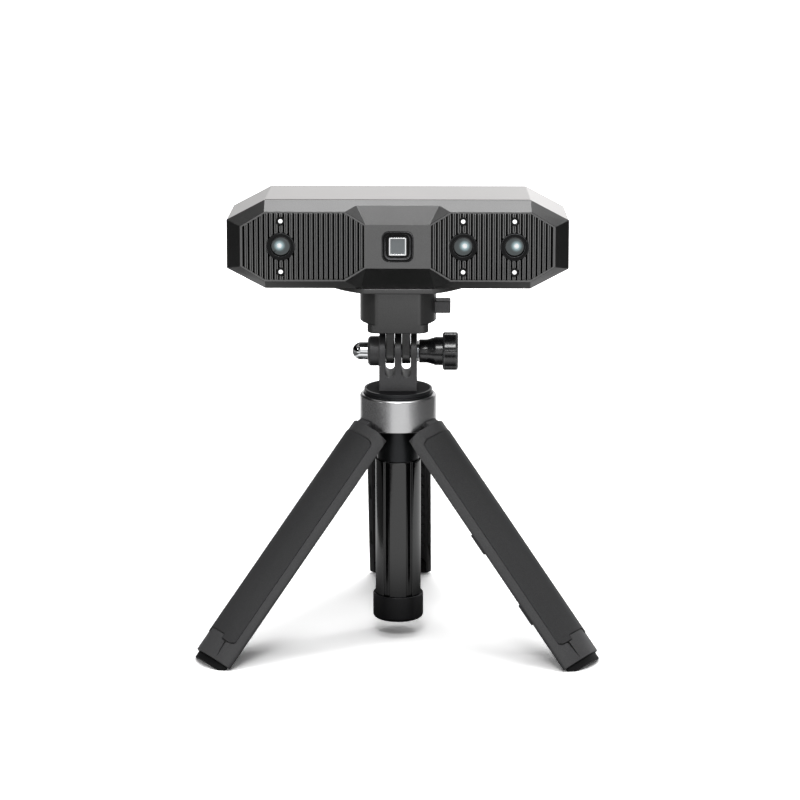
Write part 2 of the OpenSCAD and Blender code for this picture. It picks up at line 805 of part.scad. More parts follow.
module projector_module() {
  barrel = 2.3;
  half_w = projector_w / 2;
  half_h = center_half_h + 1.5;
  color("#2b2c30") on_optic(0) {
    rod_y(barrel, projector_glass_y + 0.6, 0);
    box([-half_w, gap - bezel_floor, -half_h], [half_w, bracket_y, half_h]);
  }
}

module optics_bracket() {
  half_h = bracket_h / 2;
  color("#a9abae") difference() {
    on_optic(0) box([-bracket_half_w, bracket_y, -half_h], [bracket_half_w, bracket_back, half_h]);
    at_bracket_screws() rod_y(small_screw_r + gap, bracket_y - cut, bracket_back + cut);
  }
}

module bracket_screws() {
  color("#8c8f93") at_bracket_screws() {
    rod_y(small_head_r, bracket_y - small_head_h, bracket_y);
    rod_y(small_screw_r, bracket_y - gap, bracket_back + bracket_screw_bite);
  }
}

// Main board with its processor, memory and connector bodies
module main_board() {
  half_h = board_h / 2;
  face = board_y + gap;
  color("#1e5a3c") difference() {
    on_optic(0) {
      box([-board_half_w, board_y, -half_h], [board_half_w, board_back, half_h]);
      translate([-board_half_w / 3, 0, 0])
        box([-processor_w / 2, board_y - 1.4, -processor_w / 2], [processor_w / 2, face, processor_w / 2]);
      translate([board_half_w / 7, 0, 0])
        box([-memory_w / 2, board_y - 1.2, -memory_w / 2], [memory_w / 2, face, memory_w / 2]);
      translate([0.6 * board_half_w, 0, 0])
        box([-connector_w / 2, board_y - 2, -board_h / 6], [connector_w / 2, face, board_h / 6]);
    }
    at_board_screws() rod_y(small_screw_r + gap, board_y - cut, board_back + cut);
  }
}

module board_screws() {
  color("#8c8f93") at_board_screws() {
    rod_y(small_head_r, board_y - small_head_h, board_y);
    rod_y(small_screw_r, board_y - gap, board_back + board_screw_bite);
  }
}

// Cable socket: a flat round-ended shell with a tongue inside
module cable_socket() {
  front = back_y - socket_d;
  wall = 0.3;
  tongue_w = socket_w - socket_h + 1;
  color("#b9bcc0") on_optic(0) {
    difference() {
      plate_y(front, back_y - wall) rounded_rect(socket_w, socket_h, socket_h / 2 - slice);
      plate_y(front + 0.8, back_y)
        rounded_rect(socket_w - 2 * wall, socket_h - 2 * wall, socket_h / 2 - wall - slice);
    }
    box([-tongue_w / 2, front + 0.7, -0.35], [tongue_w / 2, back_y - 1.2, 0.35]);
  }
}

module case_screws() {
  seat = back_y - case_head_h - 2 * gap;
  color("#3a3c3f") at_case_screws() {
    rod_y(case_head_r, seat, seat + case_head_h);
    rod_y(case_screw_r, 0.9 - bezel_floor, seat + gap);
  }
}

module thread_insert() {
  color("#b08d3f") on_head() translate([0, joint_y, 0])
    tube(head_insert_r, mount_screw_r + thread_fit, 0, insert_len);
}

// Mount

module mount_screw() {
  seat = latch_z + 1.8;
  color("#9a9da1") on_column() {
    translate([0, 0, seat - mount_head_h]) cylinder(r = mount_head_r, h = mount_head_h);
    translate([0, 0, seat - gap]) cylinder(r = mount_screw_r, h = head_z + insert_len - 0.6 - seat);
  }
}

// Flange under the head, with the grooved spigot that the latch holds
module mount_flange() {
  seat = latch_z + 1.8;
  spigot_z = latch_z - 1.3;
  groove_margin = 0.3;
  color("#3c3d40") on_column() difference() {
    union() {
      translate([0, 0, block_top]) linear_extrude(flange_t) intersection() {
        translate([0, flange_curve_r - flange_bulge]) circle(flange_curve_r, $fn = 180);
        translate([0, flange_bulge - flange_curve_r]) circle(flange_curve_r, $fn = 180);
        translate([-flange_half_w, -flange_flat]) square([2 * flange_half_w, flange_flat + joint_y - 2]);
      }
      difference() {
        translate([0, 0, spigot_z]) cylinder(r = spigot_r, h = block_top - spigot_z + gap);
        tube(spigot_r + cut, groove_r, latch_z - groove_margin, latch_z + latch_t + groove_margin);
      }
    }
    translate([0, 0, spigot_z - cut])
      cylinder(r = mount_screw_r + thread_fit, h = head_z - spigot_z + 2 * cut);
    translate([0, 0, spigot_z - cut]) cylinder(r = mount_head_r + gap, h = seat - spigot_z + cut);
  }
}

// Round block that takes the spigot and holds the release latch
module mount_block() {
  window = 0.2;
  color("#4b4c4f") on_column() difference() {
    intersection() {
      translate([0, 0, block_z]) cylinder(r = block_r, h = block_h);
      box([-block_r, -block_flat, block_z], [block_r, block_r, block_top]);
    }
    translate([0, 0, block_z]) cylinder(r = spigot_r + gap, h = block_h + cut);
    box([-cavity_r, -cavity_r, block_z - cut],
        [cavity_r + latch_travel, cavity_r, latch_z + latch_t + window]);
    box([0, -latch_w / 2 - window, latch_z - window],
        [block_r + cut, latch_w / 2 + window, latch_z + latch_t + window]);
    translate([0, 0, latch_z + latch_t / 2]) rod_x(spring_r + window, spring_seat, 0);
    at_plate_screws() cylinder(r = small_screw_r, h = plate_t + plate_screw_bite + 2);
  }
}

// Plate under the block with the two fingers that stand between the prongs
module finger_plate() {
  inner = cavity_r - gap;
  color("#47484b") on_column() difference() {
    union() {
      translate([0, 0, plate_z]) linear_extrude(plate_t)
        rounded_rect(2 * plate_half_w, 2 * block_flat, plate_corner_r);
      box([-inner, -inner, block_z - gap], [inner + latch_travel, inner, latch_z - gap]);
      for (sx = [-1, 1]) translate([sx * finger_x, 0, pivot_z]) {
        rod_x(finger_r, -finger_w / 2, finger_w / 2);
        box([-finger_w / 2, -finger_r, 0], [finger_w / 2, finger_r, plate_rise + gap]);
      }
    }
    translate([0, 0, pivot_z]) rod_x(clamp_hole_r, -block_r, block_r);
    translate([0, 0, latch_z - 1.4]) cylinder(r = spigot_r + gap, h = 2);
    at_plate_screws() {
      translate([0, 0, -cut]) cylinder(r = small_screw_r + gap, h = plate_t + 2 * cut);
      translate([0, 0, -cut]) cylinder(r = small_head_r + gap / 2, h = small_head_h + gap + cut);
    }
  }
}

module plate_screws() {
  color("#8c8f93") on_column() at_plate_screws() {
    translate([0, 0, gap]) cylinder(r = small_head_r, h = small_head_h);
    translate([0, 0, small_head_h])
      cylinder(r = small_screw_r - thread_fit, h = plate_t + plate_screw_bite);
  }
}

// Latch plate with an oversize hole, and the bar that is pressed
module release_latch() {
  color("#3f4043") on_column() translate([latch_travel, 0, latch_z]) difference() {
    union() {
      cylinder(r = latch_disc_r, h = latch_t);
      box([0, -latch_w / 2, 0], [latch_reach - latch_travel, latch_w / 2, latch_t]);
    }
    translate([0, 0, -cut]) cylinder(r = latch_hole_r, h = latch_t + 2 * cut);
  }
}

module latch_spring() {
  color("#b4b7bb") on_column() translate([0, 0, latch_z + latch_t / 2]) difference() {
    rod_x(spring_r, spring_seat + gap, latch_travel - latch_disc_r - gap);
    rod_x(spring_r - 0.5, spring_seat, 0);
  }
}

// Clamp

// Adapter with three prongs, its base on the platform and the nut's boss
module tripod_adapter() {
  nut_pocket = 3;
  bevel = 0.8;
  slot_round = prong_slot_w / 2;
  end = -adapter_half_w - boss_len;
  color("#414245") on_pivot() difference() {
    union() {
      rod_x(adapter_half_d, -adapter_half_w, adapter_half_w);
      box([-adapter_half_w, -adapter_half_d, -pivot_h], [adapter_half_w, adapter_half_d, 0]);
      rod_x(boss_r, end + bevel, 0);
      cone_x(boss_r - bevel, boss_r, end, end + bevel);
    }
    for (sx = [-1, 1]) translate([sx * finger_x, 0, 0])
      plate_y(-adapter_half_d - cut, adapter_half_d + cut) {
        translate([0, slot_round - prong_slot_drop]) circle(slot_round);
        translate([-slot_round, slot_round - prong_slot_drop])
          square([2 * slot_round, prong_slot_drop + adapter_half_d + cut]);
      }
    rod_x(clamp_hole_r, -block_r, block_r);
    translate([end - cut, 0, 0]) rotate([0, 90, 0])
      cylinder(r = nut_hex_r + gap, h = nut_pocket + cut, $fn = 6);
    translate([0, 0, -pivot_h - cut]) cylinder(r = adapter_insert_r, h = adapter_insert_len + gap + cut);
  }
}

module adapter_insert() {
  color("#b08d3f") on_column()
    tube(adapter_insert_r, camera_screw_r + thread_fit, platform_top, platform_top + adapter_insert_len);
}

module cap_nut() {
  base = -adapter_half_w - boss_len;
  dome = base - 2.4;
  color("#d8dadd") on_pivot() difference() {
    union() {
      translate([base, 0, 0]) rotate([0, 90, 0]) cylinder(r = nut_hex_r, h = 2.9, $fn = 6);
      rod_x(nut_r, dome, base + gap);
      translate([dome, 0, 0]) sphere(r = nut_r);
    }
    rod_x(clamp_screw_r, dome + 0.4, 0);
  }
}

module clamp_screw() {
  color("#a4a7ab") on_pivot() rod_x(clamp_screw_r, 2 * gap - adapter_half_w - boss_len, screw_end);
}

module clamp_washer() {
  face = adapter_half_w + gap;
  color("#b4b7bb") on_pivot() difference() {
    rod_x(knob_neck_r - 0.4, face, face + washer_t);
    rod_x(clamp_hole_r, 0, block_r);
  }
}

module clamp_knob() {
  start = adapter_half_w + washer_t + 2 * gap;
  flare = adapter_half_w + 0.4 * knob_neck_len;
  flare_end = flare + 0.32 * knob_neck_len;
  head = adapter_half_w + knob_neck_len;
  tip = head + knob_head_len;
  bevel = 0.6;
  color("#1b1b1d") on_pivot() difference() {
    union() {
      rod_x(knob_neck_r, start, flare + gap);
      cone_x(knob_neck_r, knob_flare_r, flare, flare_end);
      rod_x(knob_flare_r, flare_end - gap, head + gap);
      cone_x(knob_r - bevel, knob_r, head, head + bevel);
      rod_x(knob_r, head + bevel, tip - bevel);
      cone_x(knob_r, knob_r - bevel, tip - bevel, tip);
    }
    rod_x(clamp_screw_r, 0, screw_end);
    for (i = [0 : knob_lobes - 1]) rotate([knob_turn + i * 360 / knob_lobes, 0, 0])
      translate([0, 0, knob_r]) rod_x(knob_notch_r, head - cut, tip + cut);
  }
}

// Column

module camera_screw() {
  head_h = 2.2;
  head_z0 = platform_bottom - spigot_len - head_h;
  color("#a4a7ab") on_column() {
    translate([0, 0, head_z0]) cylinder(r = inner_tube_bore - gap, h = head_h);
    translate([0, 0, head_z0 + gap])
      cylinder(r = camera_screw_r, h = platform_top + camera_screw_h - head_z0 - gap);
  }
}

// Platform disc in two tiers, with the spigot that plugs into the inner tube
module platform_disc() {
  tier = 1.2;
  seam = 0.3;
  color("#2c2d30") on_column() difference() {
    union() {
      translate([0, 0, platform_bottom]) cylinder(r = platform_r, h = tier);
      translate([0, 0, platform_bottom + tier]) cylinder(r = platform_r - 0.35, h = seam);
      translate([0, 0, platform_bottom + tier + seam])
        cylinder(r = platform_r, h = platform_t - tier - seam);
      translate([0, 0, platform_bottom - spigot_len]) cylinder(r = inner_tube_bore, h = spigot_len + gap);
    }
    translate([0, 0, platform_bottom - spigot_len - cut])
      cylinder(r = camera_screw_r, h = spigot_len + platform_t + 2 * cut);
    translate([0, 0, platform_top - pad_t]) cylinder(r = pad_r, h = pad_t + cut);
  }
}

module platform_pad() {
  color("#202022") on_column() tube(pad_r, adapter_insert_r, platform_top - pad_t, platform_top);
}

module inner_tube() {
  color("#9fa2a6") on_column() tube(inner_tube_r, inner_tube_bore, inner_end, platform_bottom);
}

module inner_bush() {
  color("#dedede") on_column() tube(inner_bush_r, inner_tube_r, inner_end, inner_end + bush_len);
}

module middle_tube() {
  color("#8f9296") on_column() tube(middle_tube_r, middle_tube_bore, middle_end, hub_top);
}

module middle_bush() {
  color("#dedede") on_column() tube(middle_bush_r, middle_tube_r, middle_end, middle_end + bush_len);
}

module middle_guide() {
  color("#dedede") on_column()
    tube(middle_tube_bore, inner_tube_r + bush_fit, hub_top - guide_len, hub_top);
}

module outer_tube() {
  color("#7f8286") on_column() tube(outer_tube_r, outer_tube_bore, cap_floor, hub_top);
}

module outer_guide() {
  color("#dedede") on_column()
    tube(outer_tube_bore, middle_tube_r + bush_fit, hub_top - guide_len, hub_top);
}

module fluted_tube() {
  groove_start = cap_floor - cut;
  color("#17181a") on_column() difference() {
    tube(flute_r, outer_tube_r, cap_floor, sleeve_end);
    for (i = [0 : flute_count - 1])
      rotate([0, 0, -90 + (i + 0.5) * 360 / flute_count])
        box([flute_r - flute_d, -flute_w / 2, groove_start],
            [flute_r + cut, flute_w / 2, sleeve_end + cut]);
  }
}

// End cap: a cup with a rounded lower edge and a spigot into the steel tube
module end_cap() {
  color("#242527") on_column() {
    rotate_extrude() difference() {
      union() {
        translate([0, cap_clear + cap_round]) square([cap_r, cap_h - cap_round]);
        translate([0, cap_clear]) square([cap_r - cap_round, cap_round + gap]);
        translate([cap_r - cap_round, cap_clear + cap_round]) circle(cap_round);
      }
      translate([-cap_r, cap_clear - cut]) square([cap_r, cap_h + 2 * cut]);
      translate([-gap, cap_floor]) square([flute_r + gap / 2 + gap, cap_h]);
    }
    translate([0, 0, cap_floor - gap]) cylinder(r = outer_tube_bore - gap / 2, h = 3);
  }
}

// One copy for each leg's hinge
module at_hinges() {
  for (a = [left_azimuth, right_azimuth, rear_azimuth]) rotate([0, 0, a]) children();
}

// Metal collar: a band with three tongues between the hinge slots
module collar() {
  slot_half = slot_w / 2;
  chamfer = 0.4;
  color("#8c8e91") on_column() difference() {
    rotate_extrude() polygon([
      [collar_bore_r, tongue_bottom], [collar_r - chamfer, tongue_bottom],
      [collar_r, tongue_bottom + chamfer], [collar_r, collar_top - collar_bevel],
      [collar_r - collar_bevel, collar_top], [collar_bore_r, collar_top]
    ]);
    at_hinges() box([0, -slot_half, tongue_bottom - cut], [collar_r + cut, slot_half, band_bottom]);
  }
}

// Hub inside the collar: carries the pins and the sleeve round the column
module hub() {
  slot_half = slot_w / 2;
  slot_floor = hinge_r - knuckle_r - 2 * gap;
  hub_bottom = tongue_bottom + 0.4;
  color("#303134") on_column() difference() {
    union() {
      translate([0, 0, hub_bottom]) cylinder(r = hub_r, h = hub_top - hub_bottom);
      translate([0, 0, sleeve_end]) cylinder(r = sleeve_r, h = hub_bottom - sleeve_end + gap);
    }
    translate([0, 0, sleeve_end - cut]) cylinder(r = outer_tube_r, h = hub_top - sleeve_end + 2 * cut);
    at_hinges() {
      box([slot_floor, -slot_half, hub_bottom - cut],
          [hub_r + cut, slot_half, hinge_z + knuckle_r + 4 * gap]);
      translate([hinge_r, 0, hinge_z]) rod_y(pin_r, -pin_len / 2 - gap, pin_len / 2 + gap);
    }
  }
}

module hinge_pins() {
  color("#a4a7ab") on_column() at_hinges()
    translate([hinge_r, 0, hinge_z]) rod_y(pin_r, -pin_len / 2, pin_len / 2);
}

// Legs

// Ring sector in plan, centred on the column axis of the folded leg
module sector(r_out, r_in, half_angle) {
  far = 2 * r_out;
  translate([-hinge_r, 0]) difference() {
    intersection() {
      circle(r_out, $fn = leg_fn);
      polygon([
        [0, 0], [far * cos(half_angle), -far * sin(half_angle)], [far, -far * sin(half_angle)],
        [far, far * sin(half_angle)], [far * cos(half_angle), far * sin(half_angle)]
      ]);
    }
    circle(r_in, $fn = leg_fn);
  }
}

// Leg shell with its neck, knuckle, cross ribs, tabs and the tabs' notches
module leg_shell(azimuth) {
  rib_r = leg_inner_r - rib_h;
  first_rib = 16;
  grip_end = leg_len - grip_end_margin;
  rib_count = floor((grip_end - first_rib - 6) / rib_pitch);
  tab_starts = [0.44 * leg_len, 0.73 * leg_len];
  color("#3a3b3d") on_leg(azimuth) difference() {
    union() {
      difference() {
        translate([0, 0, -leg_len]) linear_extrude(leg_len - shell_drop)
          sector(shell_r, leg_inner_r, leg_half_angle);
        shell_top_cut();
      }
      leg_neck();
      for (i = [0 : rib_count])
        translate([0, 0, -first_rib - i * rib_pitch]) linear_extrude(rib_t)
          sector(leg_inner_r + gap, rib_r, leg_half_angle - 8);
      for (s = tab_starts)
        translate([0, 0, -s - tab_len]) linear_extrude(tab_len) leg_tab();
    }
    grip_body(leg_r + cut, grip_half_angle, 0);
    for (s = tab_starts)
      translate([0, 0, -s - tab_len - notch_fit]) linear_extrude(tab_len + 2 * notch_fit)
        tab_notch();
    rod_y(pin_r + pin_fit, -neck_w, neck_w);
  }
}

// Bevel and round corners at the top of a shell, which let it swing past the collar
module shell_top_cut() {
  edge_y = shell_r * sin(leg_half_angle);
  slope = shell_top_bevel / (shell_r - leg_inner_r);
  low_r = leg_inner_r - cut;
  low = -shell_drop - shell_top_bevel - slope * cut;
  translate([-hinge_r, 0, low])
    cylinder(r1 = low_r, r2 = shell_r + cut, h = slope * (shell_r + cut - low_r));
  for (sy = [-1, 1])
    translate([0, sy * edge_y, -shell_drop]) corner_cut(-sy, shell_corner_r);
}

// Section of a tab: it stands out of the inner half of the shell's edge
module leg_tab() {
  intersection() {
    sector(leg_inner_r + tab_t, leg_inner_r + tab_step, leg_half_angle + tab_angle);
    translate([-hinge_r, -leg_r]) square(leg_r);
  }
}

// Section of the notch that takes a neighbour's tab when the legs are folded
module tab_notch() {
  intersection() {
    difference() {
      sector(leg_inner_r + tab_t + gap, leg_inner_r - rib_h - cut, leg_half_angle + 5);
      sector(leg_r + cut, leg_inner_r - 2 * rib_h - cut, leg_half_angle - tab_angle + 0.8);
    }
    translate([-hinge_r, 0]) square([2 * leg_r, leg_r + cut]);
  }
}

// Rounds one upper corner of a leg part, seen along the radius
module corner_cut(side, r) {
  rotate([90, 0, 90]) translate([0, 0, -hinge_r]) linear_extrude(2 * leg_r) difference() {
    translate([side > 0 ? -cut : -r, -r]) square([r + cut, r + cut]);
    translate([side * r, -r]) circle(r);
  }
}

// Neck from the knuckle to the shell, cut to pass under the collar's band
module leg_neck() {
  half = neck_w / 2;
  back = 0.5 - knuckle_r;
  root = -shell_drop - 3;
  under_band = -band_drop - 0.15;
  rod_y(knuckle_r, -half, half);
  difference() {
    translate([0, 0, root]) linear_extrude(-root - 1.5) intersection() {
      translate([-hinge_r, 0]) circle(shell_r, $fn = leg_fn);
      translate([back, -half]) square([leg_r, neck_w]);
    }
    // In the open pose this face lies just under the collar's band
    rotate([0, leg_spread, 0]) box([-leg_r, -half - cut, under_band], [leg_r, half + cut, leg_r]);
    rotate([0, leg_spread, 0]) translate([collar_r - hinge_r, 0, under_band])
      rotate([0, 30, 0]) box([-cut, -half - cut, 0], [leg_r, half + cut, leg_r]);
  }
  // The web between knuckle and neck stays inside the slot
  plate_y(-half, half) polygon([
    [2 * gap - knuckle_r, -0.5], [back + 0.4, -shell_drop - 1], [0.2, -shell_drop - 1], [0.5, -1.5]
  ]);
}

// Soft grip let into the shell's outside
module leg_grip(azimuth) {
  color("#2a2b2d") on_leg(azimuth) grip_body(leg_r, grip_half_angle - 0.2, gap);
}

// The grip's shape, smaller by the margin along the leg; also cuts its pocket
module grip_body(r_out, half_angle, margin) {
  top = -grip_start - margin;
  end = grip_end_margin - leg_len + margin;
  edge_y = leg_r * sin(half_angle);
  difference() {
    translate([0, 0, end]) linear_extrude(top - end)
      sector(r_out, leg_r - grip_pocket, half_angle);
    translate([0, 0, end - cut]) linear_extrude(grip_tongue + cut)
      sector(leg_r + 2 * cut, leg_inner_r, grip_tongue_angle + margin);
    for (sy = [-1, 1]) {
      translate([0, sy * edge_y, top]) corner_cut(-sy, grip_corner_r);
      translate([0, sy * edge_y, end]) mirror([0, 0, 1]) corner_cut(-sy, grip_corner_r);
    }
  }
}

// Section of a foot: the arc closed by its chord
module foot_section(r, half_angle) {
  translate([-hinge_r, 0]) intersection() {
    circle(r, $fn = leg_fn);
    translate([r * cos(half_angle), -r]) square(2 * r);
  }
}

// Rubber foot that closes the shell and stands flat on the table
module leg_foot(azimuth) {
  above = 2 * leg_len;
  color("#161617") intersection() {
    on_leg(azimuth) {
      translate([0, 0, -foot_end]) linear_extrude(foot_len) foot_section(foot_r, foot_half_angle);
      translate([0, 0, -leg_len - gap]) linear_extrude(foot_plug + gap)
        foot_section(leg_inner_r - gap, foot_half_angle);
    }
    on_column() translate([-above, -above, 0]) cube([2 * above, 2 * above, leg_len]);
  }
}

rear_shell();
front_bezel();
camera_ring(-outer_camera_x);  // left_camera_ring
camera_ring(inner_camera_x);  // inner_camera_ring
camera_ring(outer_camera_x);  // right_camera_ring
camera_windows();
camera_module(-outer_camera_x);  // left_camera_module
camera_module(inner_camera_x);  // inner_camera_module
camera_module(outer_camera_x);  // right_camera_module
fill_light_lenses();
fill_light_boards();
projector_frame();
projector_trim();
projector_window();
projector_module();
optics_bracket();
bracket_screws();
main_board();
board_screws();
cable_socket();
case_screws();
thread_insert();
mount_screw();
mount_flange();
mount_block();
finger_plate();
plate_screws();
release_latch();
latch_spring();
tripod_adapter();
adapter_insert();
cap_nut();
clamp_screw();
clamp_washer();
clamp_knob();
camera_screw();
platform_disc();
platform_pad();
inner_tube();
inner_bush();
middle_tube();
middle_bush();
middle_guide();
outer_tube();
outer_guide();
fluted_tube();
end_cap();
collar();
hub();
hinge_pins();
leg_shell(left_azimuth);  // left_leg_shell
leg_grip(left_azimuth);  // left_leg_grip
leg_foot(left_azimuth);  // left_leg_foot
leg_shell(right_azimuth);  // right_leg_shell
leg_grip(right_azimuth);  // right_leg_grip
leg_foot(right_azimuth);  // right_leg_foot
leg_shell(rear_azimuth);  // rear_leg_shell
leg_grip(rear_azimuth);  // rear_leg_grip
leg_foot(rear_azimuth);  // rear_leg_foot
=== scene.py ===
"""A handheld 3-d scanner head on a quick-release mount and a folding table tripod."""
import json
import math

import bmesh
import bpy
from mathutils import Matrix, Vector


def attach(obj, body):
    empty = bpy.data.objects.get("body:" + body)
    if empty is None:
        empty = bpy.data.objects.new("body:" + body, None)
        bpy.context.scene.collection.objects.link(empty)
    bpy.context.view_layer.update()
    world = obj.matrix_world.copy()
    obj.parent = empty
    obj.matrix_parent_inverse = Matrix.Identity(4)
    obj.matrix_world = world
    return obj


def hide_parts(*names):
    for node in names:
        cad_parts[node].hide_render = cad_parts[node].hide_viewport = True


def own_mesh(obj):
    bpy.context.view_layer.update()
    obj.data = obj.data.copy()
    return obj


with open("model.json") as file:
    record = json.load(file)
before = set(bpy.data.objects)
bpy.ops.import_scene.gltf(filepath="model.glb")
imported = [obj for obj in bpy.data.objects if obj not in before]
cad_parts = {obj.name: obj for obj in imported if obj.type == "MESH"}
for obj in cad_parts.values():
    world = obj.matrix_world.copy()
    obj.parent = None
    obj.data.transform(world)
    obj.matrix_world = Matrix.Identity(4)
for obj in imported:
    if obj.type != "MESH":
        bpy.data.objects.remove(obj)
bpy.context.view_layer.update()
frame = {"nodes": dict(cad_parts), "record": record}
scene = bpy.context.scene
scene.view_settings.view_transform = "Standard"

# Camera and studio.
# A long lens looks slightly down on the scanner. The table is a white sweep
# that goes over into the backdrop and keeps the soft shadows of the feet.
MM = 0.001
COLUMN = Vector((0, -16.5235 * MM, 0))

lens = bpy.data.cameras.new("camera")
lens.lens = 202.0
lens.sensor_width = 36
lens.clip_start, lens.clip_end = 0.05, 20
camera = bpy.data.objects.new("camera", lens)
scene.collection.objects.link(camera)
side = Vector((0.99993579, 0.0113318, 0))
upward = Vector((-0.00281802, 0.24866692, 0.96858496))
back = side.cross(upward)
camera.matrix_world = Matrix((
    (side.x, upward.x, back.x, 18.21 * MM),
    (side.y, upward.y, back.y, -1566.11 * MM),
    (side.z, upward.z, back.z, 484.35 * MM),
    (0, 0, 0, 1),
))
scene.camera = camera


def colour(text):
    """sRGB hex to linear RGBA"""
    parts = [int(text[i:i + 2], 16) / 255 for i in (1, 3, 5)]
    return [c / 12.92 if c <= 0.04045 else ((c + 0.055) / 1.055) ** 2.4 for c in parts] + [1]


def add_node(tree, kind, values=None, **settings):
    """Adds a node, sets its fields, and fills or links its sockets by name or number"""
    made = tree.nodes.new(kind)
    for field, value in settings.items():
        setattr(made, field, value)
    for socket, value in (values or {}).items():
        target = made.inputs[socket]
        if isinstance(value, bpy.types.NodeSocket):
            tree.links.new(value, target)
        else:
            target.default_value = value
    return made


def new_material(name):
    material = bpy.data.materials.new(name)
    material.use_nodes = True
    material.node_tree.nodes.clear()
    return material, material.node_tree


def flat_sheet(name, corners, material):
    """A flat piece of the studio"""
    mesh = bpy.data.meshes.new(name)
    mesh.from_pydata(corners, [], [range(len(corners))])
    mesh.materials.append(material)
    sheet = bpy.data.objects.new(name, mesh)
    scene.collection.objects.link(sheet)
    return sheet


# The sweep is lit paint round the scanner and goes over into plain white further out, to the eye. In
# reflections it is painted dark round the scanner, a painted shadow, and goes over into plain white further
# out. Diffuse rays see a dim table.
white_sweep, tree = new_material("white_painted_sweep")
path = add_node(tree, "ShaderNodeLightPath")
place = add_node(tree, "ShaderNodeTexCoord")
out = add_node(tree, "ShaderNodeVectorMath", {0: place.outputs["Object"]}, operation="LENGTH")
far = add_node(tree, "ShaderNodeMapRange", {0: out.outputs["Value"], 1: 0.14, 2: 0.5, 3: 0.0, 4: 1.0},
               interpolation_type="SMOOTHSTEP")
# Painted shadow: the glow that reflections see is near black close to the scanner.
painted_reflection_shadow = add_node(tree, "ShaderNodeMapRange", {0: out.outputs["Value"], 1: 0.04, 2: 0.14, 3: 0.02, 4: 1.0},
                interpolation_type="SMOOTHSTEP")
glossy = add_node(tree, "ShaderNodeMath", {0: path.outputs["Is Glossy Ray"],
                  1: path.outputs["Is Transmission Ray"]}, operation="MAXIMUM")
paint = add_node(tree, "ShaderNodeMix", {"Factor": path.outputs["Is Diffuse Ray"], 2: 0.02, 3: 0.14})
paint = add_node(tree, "ShaderNodeMix", {"Factor": path.outputs["Is Camera Ray"],
                 2: paint.outputs[0], 3: 1.6})
matte = add_node(tree, "ShaderNodeBsdfDiffuse", {"Color": paint.outputs[0]})
seen = add_node(tree, "ShaderNodeMath", {0: path.outputs["Is Camera Ray"], 1: far.outputs[0]},
                operation="MULTIPLY")
mirrored = add_node(tree, "ShaderNodeMath", {0: glossy.outputs[0], 1: painted_reflection_shadow.outputs[0]},
                    operation="MULTIPLY")
glow = add_node(tree, "ShaderNodeMath", {0: seen.outputs[0], 1: mirrored.outputs[0]}, operation="ADD")
light = add_node(tree, "ShaderNodeEmission", {"Strength": glow.outputs[0]})
both = add_node(tree, "ShaderNodeAddShader", {0: matte.outputs[0], 1: light.outputs[0]})
add_node(tree, "ShaderNodeOutputMaterial", {"Surface": both.outputs[0]})
reach = 6
flat_sheet("sweep", [(-reach, -reach, 0), (reach, -reach, 0), (reach, reach, 0), (-reach, reach, 0)],
           white_sweep)

# Three cards stand beside and under the head. Only reflections show them: they are painted shade that gives
# the bevels and the round metal parts their dark flanks. The side cards glow in a band low down, a painted
# light that only reflections show.
reflection_card_with_glow_band, tree = new_material("reflection_card_with_painted_glow_band")
place = add_node(tree, "ShaderNodeTexCoord")
height = add_node(tree, "ShaderNodeSeparateXYZ", {0: place.outputs["Object"]})
# The side cards' painted glow: faint below, brightest in a band, black above.
glow = add_node(tree, "ShaderNodeValToRGB", {0: height.outputs["Z"]})
stops = glow.color_ramp.elements
stops[0].position, stops[0].color = 0.07, [0.12, 0.12, 0.12, 1]
stops[1].position, stops[1].color = 0.115, [0, 0, 0, 1]
stops.new(0.095).color = [0.35, 0.35, 0.35, 1]
light = add_node(tree, "ShaderNodeEmission", {"Color": glow.outputs[0]})
add_node(tree, "ShaderNodeOutputMaterial", {"Surface": light.outputs[0]})
under_black, tree = new_material("black_card")
light = add_node(tree, "ShaderNodeEmission", {"Strength": 0.0})
add_node(tree, "ShaderNodeOutputMaterial", {"Surface": light.outputs[0]})
apart, rear, top = 0.12, 0.15, 0.2
left_outline = [(rear, 0), (rear, top), (-0.09, top), (-0.09, 0.073), (-0.167, 0.058), (-0.305, 0.03),
                (-0.45, 0)]
right_outline = [(-0.3, 0.031), (rear, 0.031), (rear, top), (-0.09, top), (-0.09, 0.073),
                 (-0.167, 0.058)]
under_outline = [(-0.03, -0.04), (0.03, -0.04), (0.03, -0.095), (-0.03, -0.095)]
cards = [flat_sheet("left_card", [(-apart, y, z) for y, z in left_outline], reflection_card_with_glow_band),
         flat_sheet("right_card", [(apart, y, z) for y, z in right_outline], reflection_card_with_glow_band),
         flat_sheet("under_card", [(x, y, 0.095) for x, y in under_outline], under_black)]
for card in cards:
    card.visible_camera = card.visible_diffuse = card.visible_shadow = card.visible_transmission = False

world = bpy.data.worlds.new("studio")
scene.world = world
world.use_nodes = True
sky = world.node_tree
sky.nodes.clear()
path = add_node(sky, "ShaderNodeLightPath")
place = add_node(sky, "ShaderNodeTexCoord")
way = add_node(sky, "ShaderNodeSeparateXYZ", {0: place.outputs["Generated"]})
low = add_node(sky, "ShaderNodeMapRange", {0: way.outputs["Z"], 1: 0.3, 2: 0.53, 3: 1.0, 4: 0.12},
               interpolation_type="SMOOTHSTEP")
lean = add_node(sky, "ShaderNodeMath", {0: way.outputs["X"], 1: 1.5, 2: 1.0}, operation="MULTIPLY_ADD")
lean = add_node(sky, "ShaderNodeMath", {0: lean.outputs[0], 1: 1.25}, operation="MINIMUM")
backdrop = add_node(sky, "ShaderNodeMath", {0: low.outputs[0], 1: lean.outputs[0]}, operation="MULTIPLY")
shown = add_node(sky, "ShaderNodeMath", {0: path.outputs["Is Camera Ray"],
                 1: path.outputs["Is Transmission Ray"]}, operation="MAXIMUM")
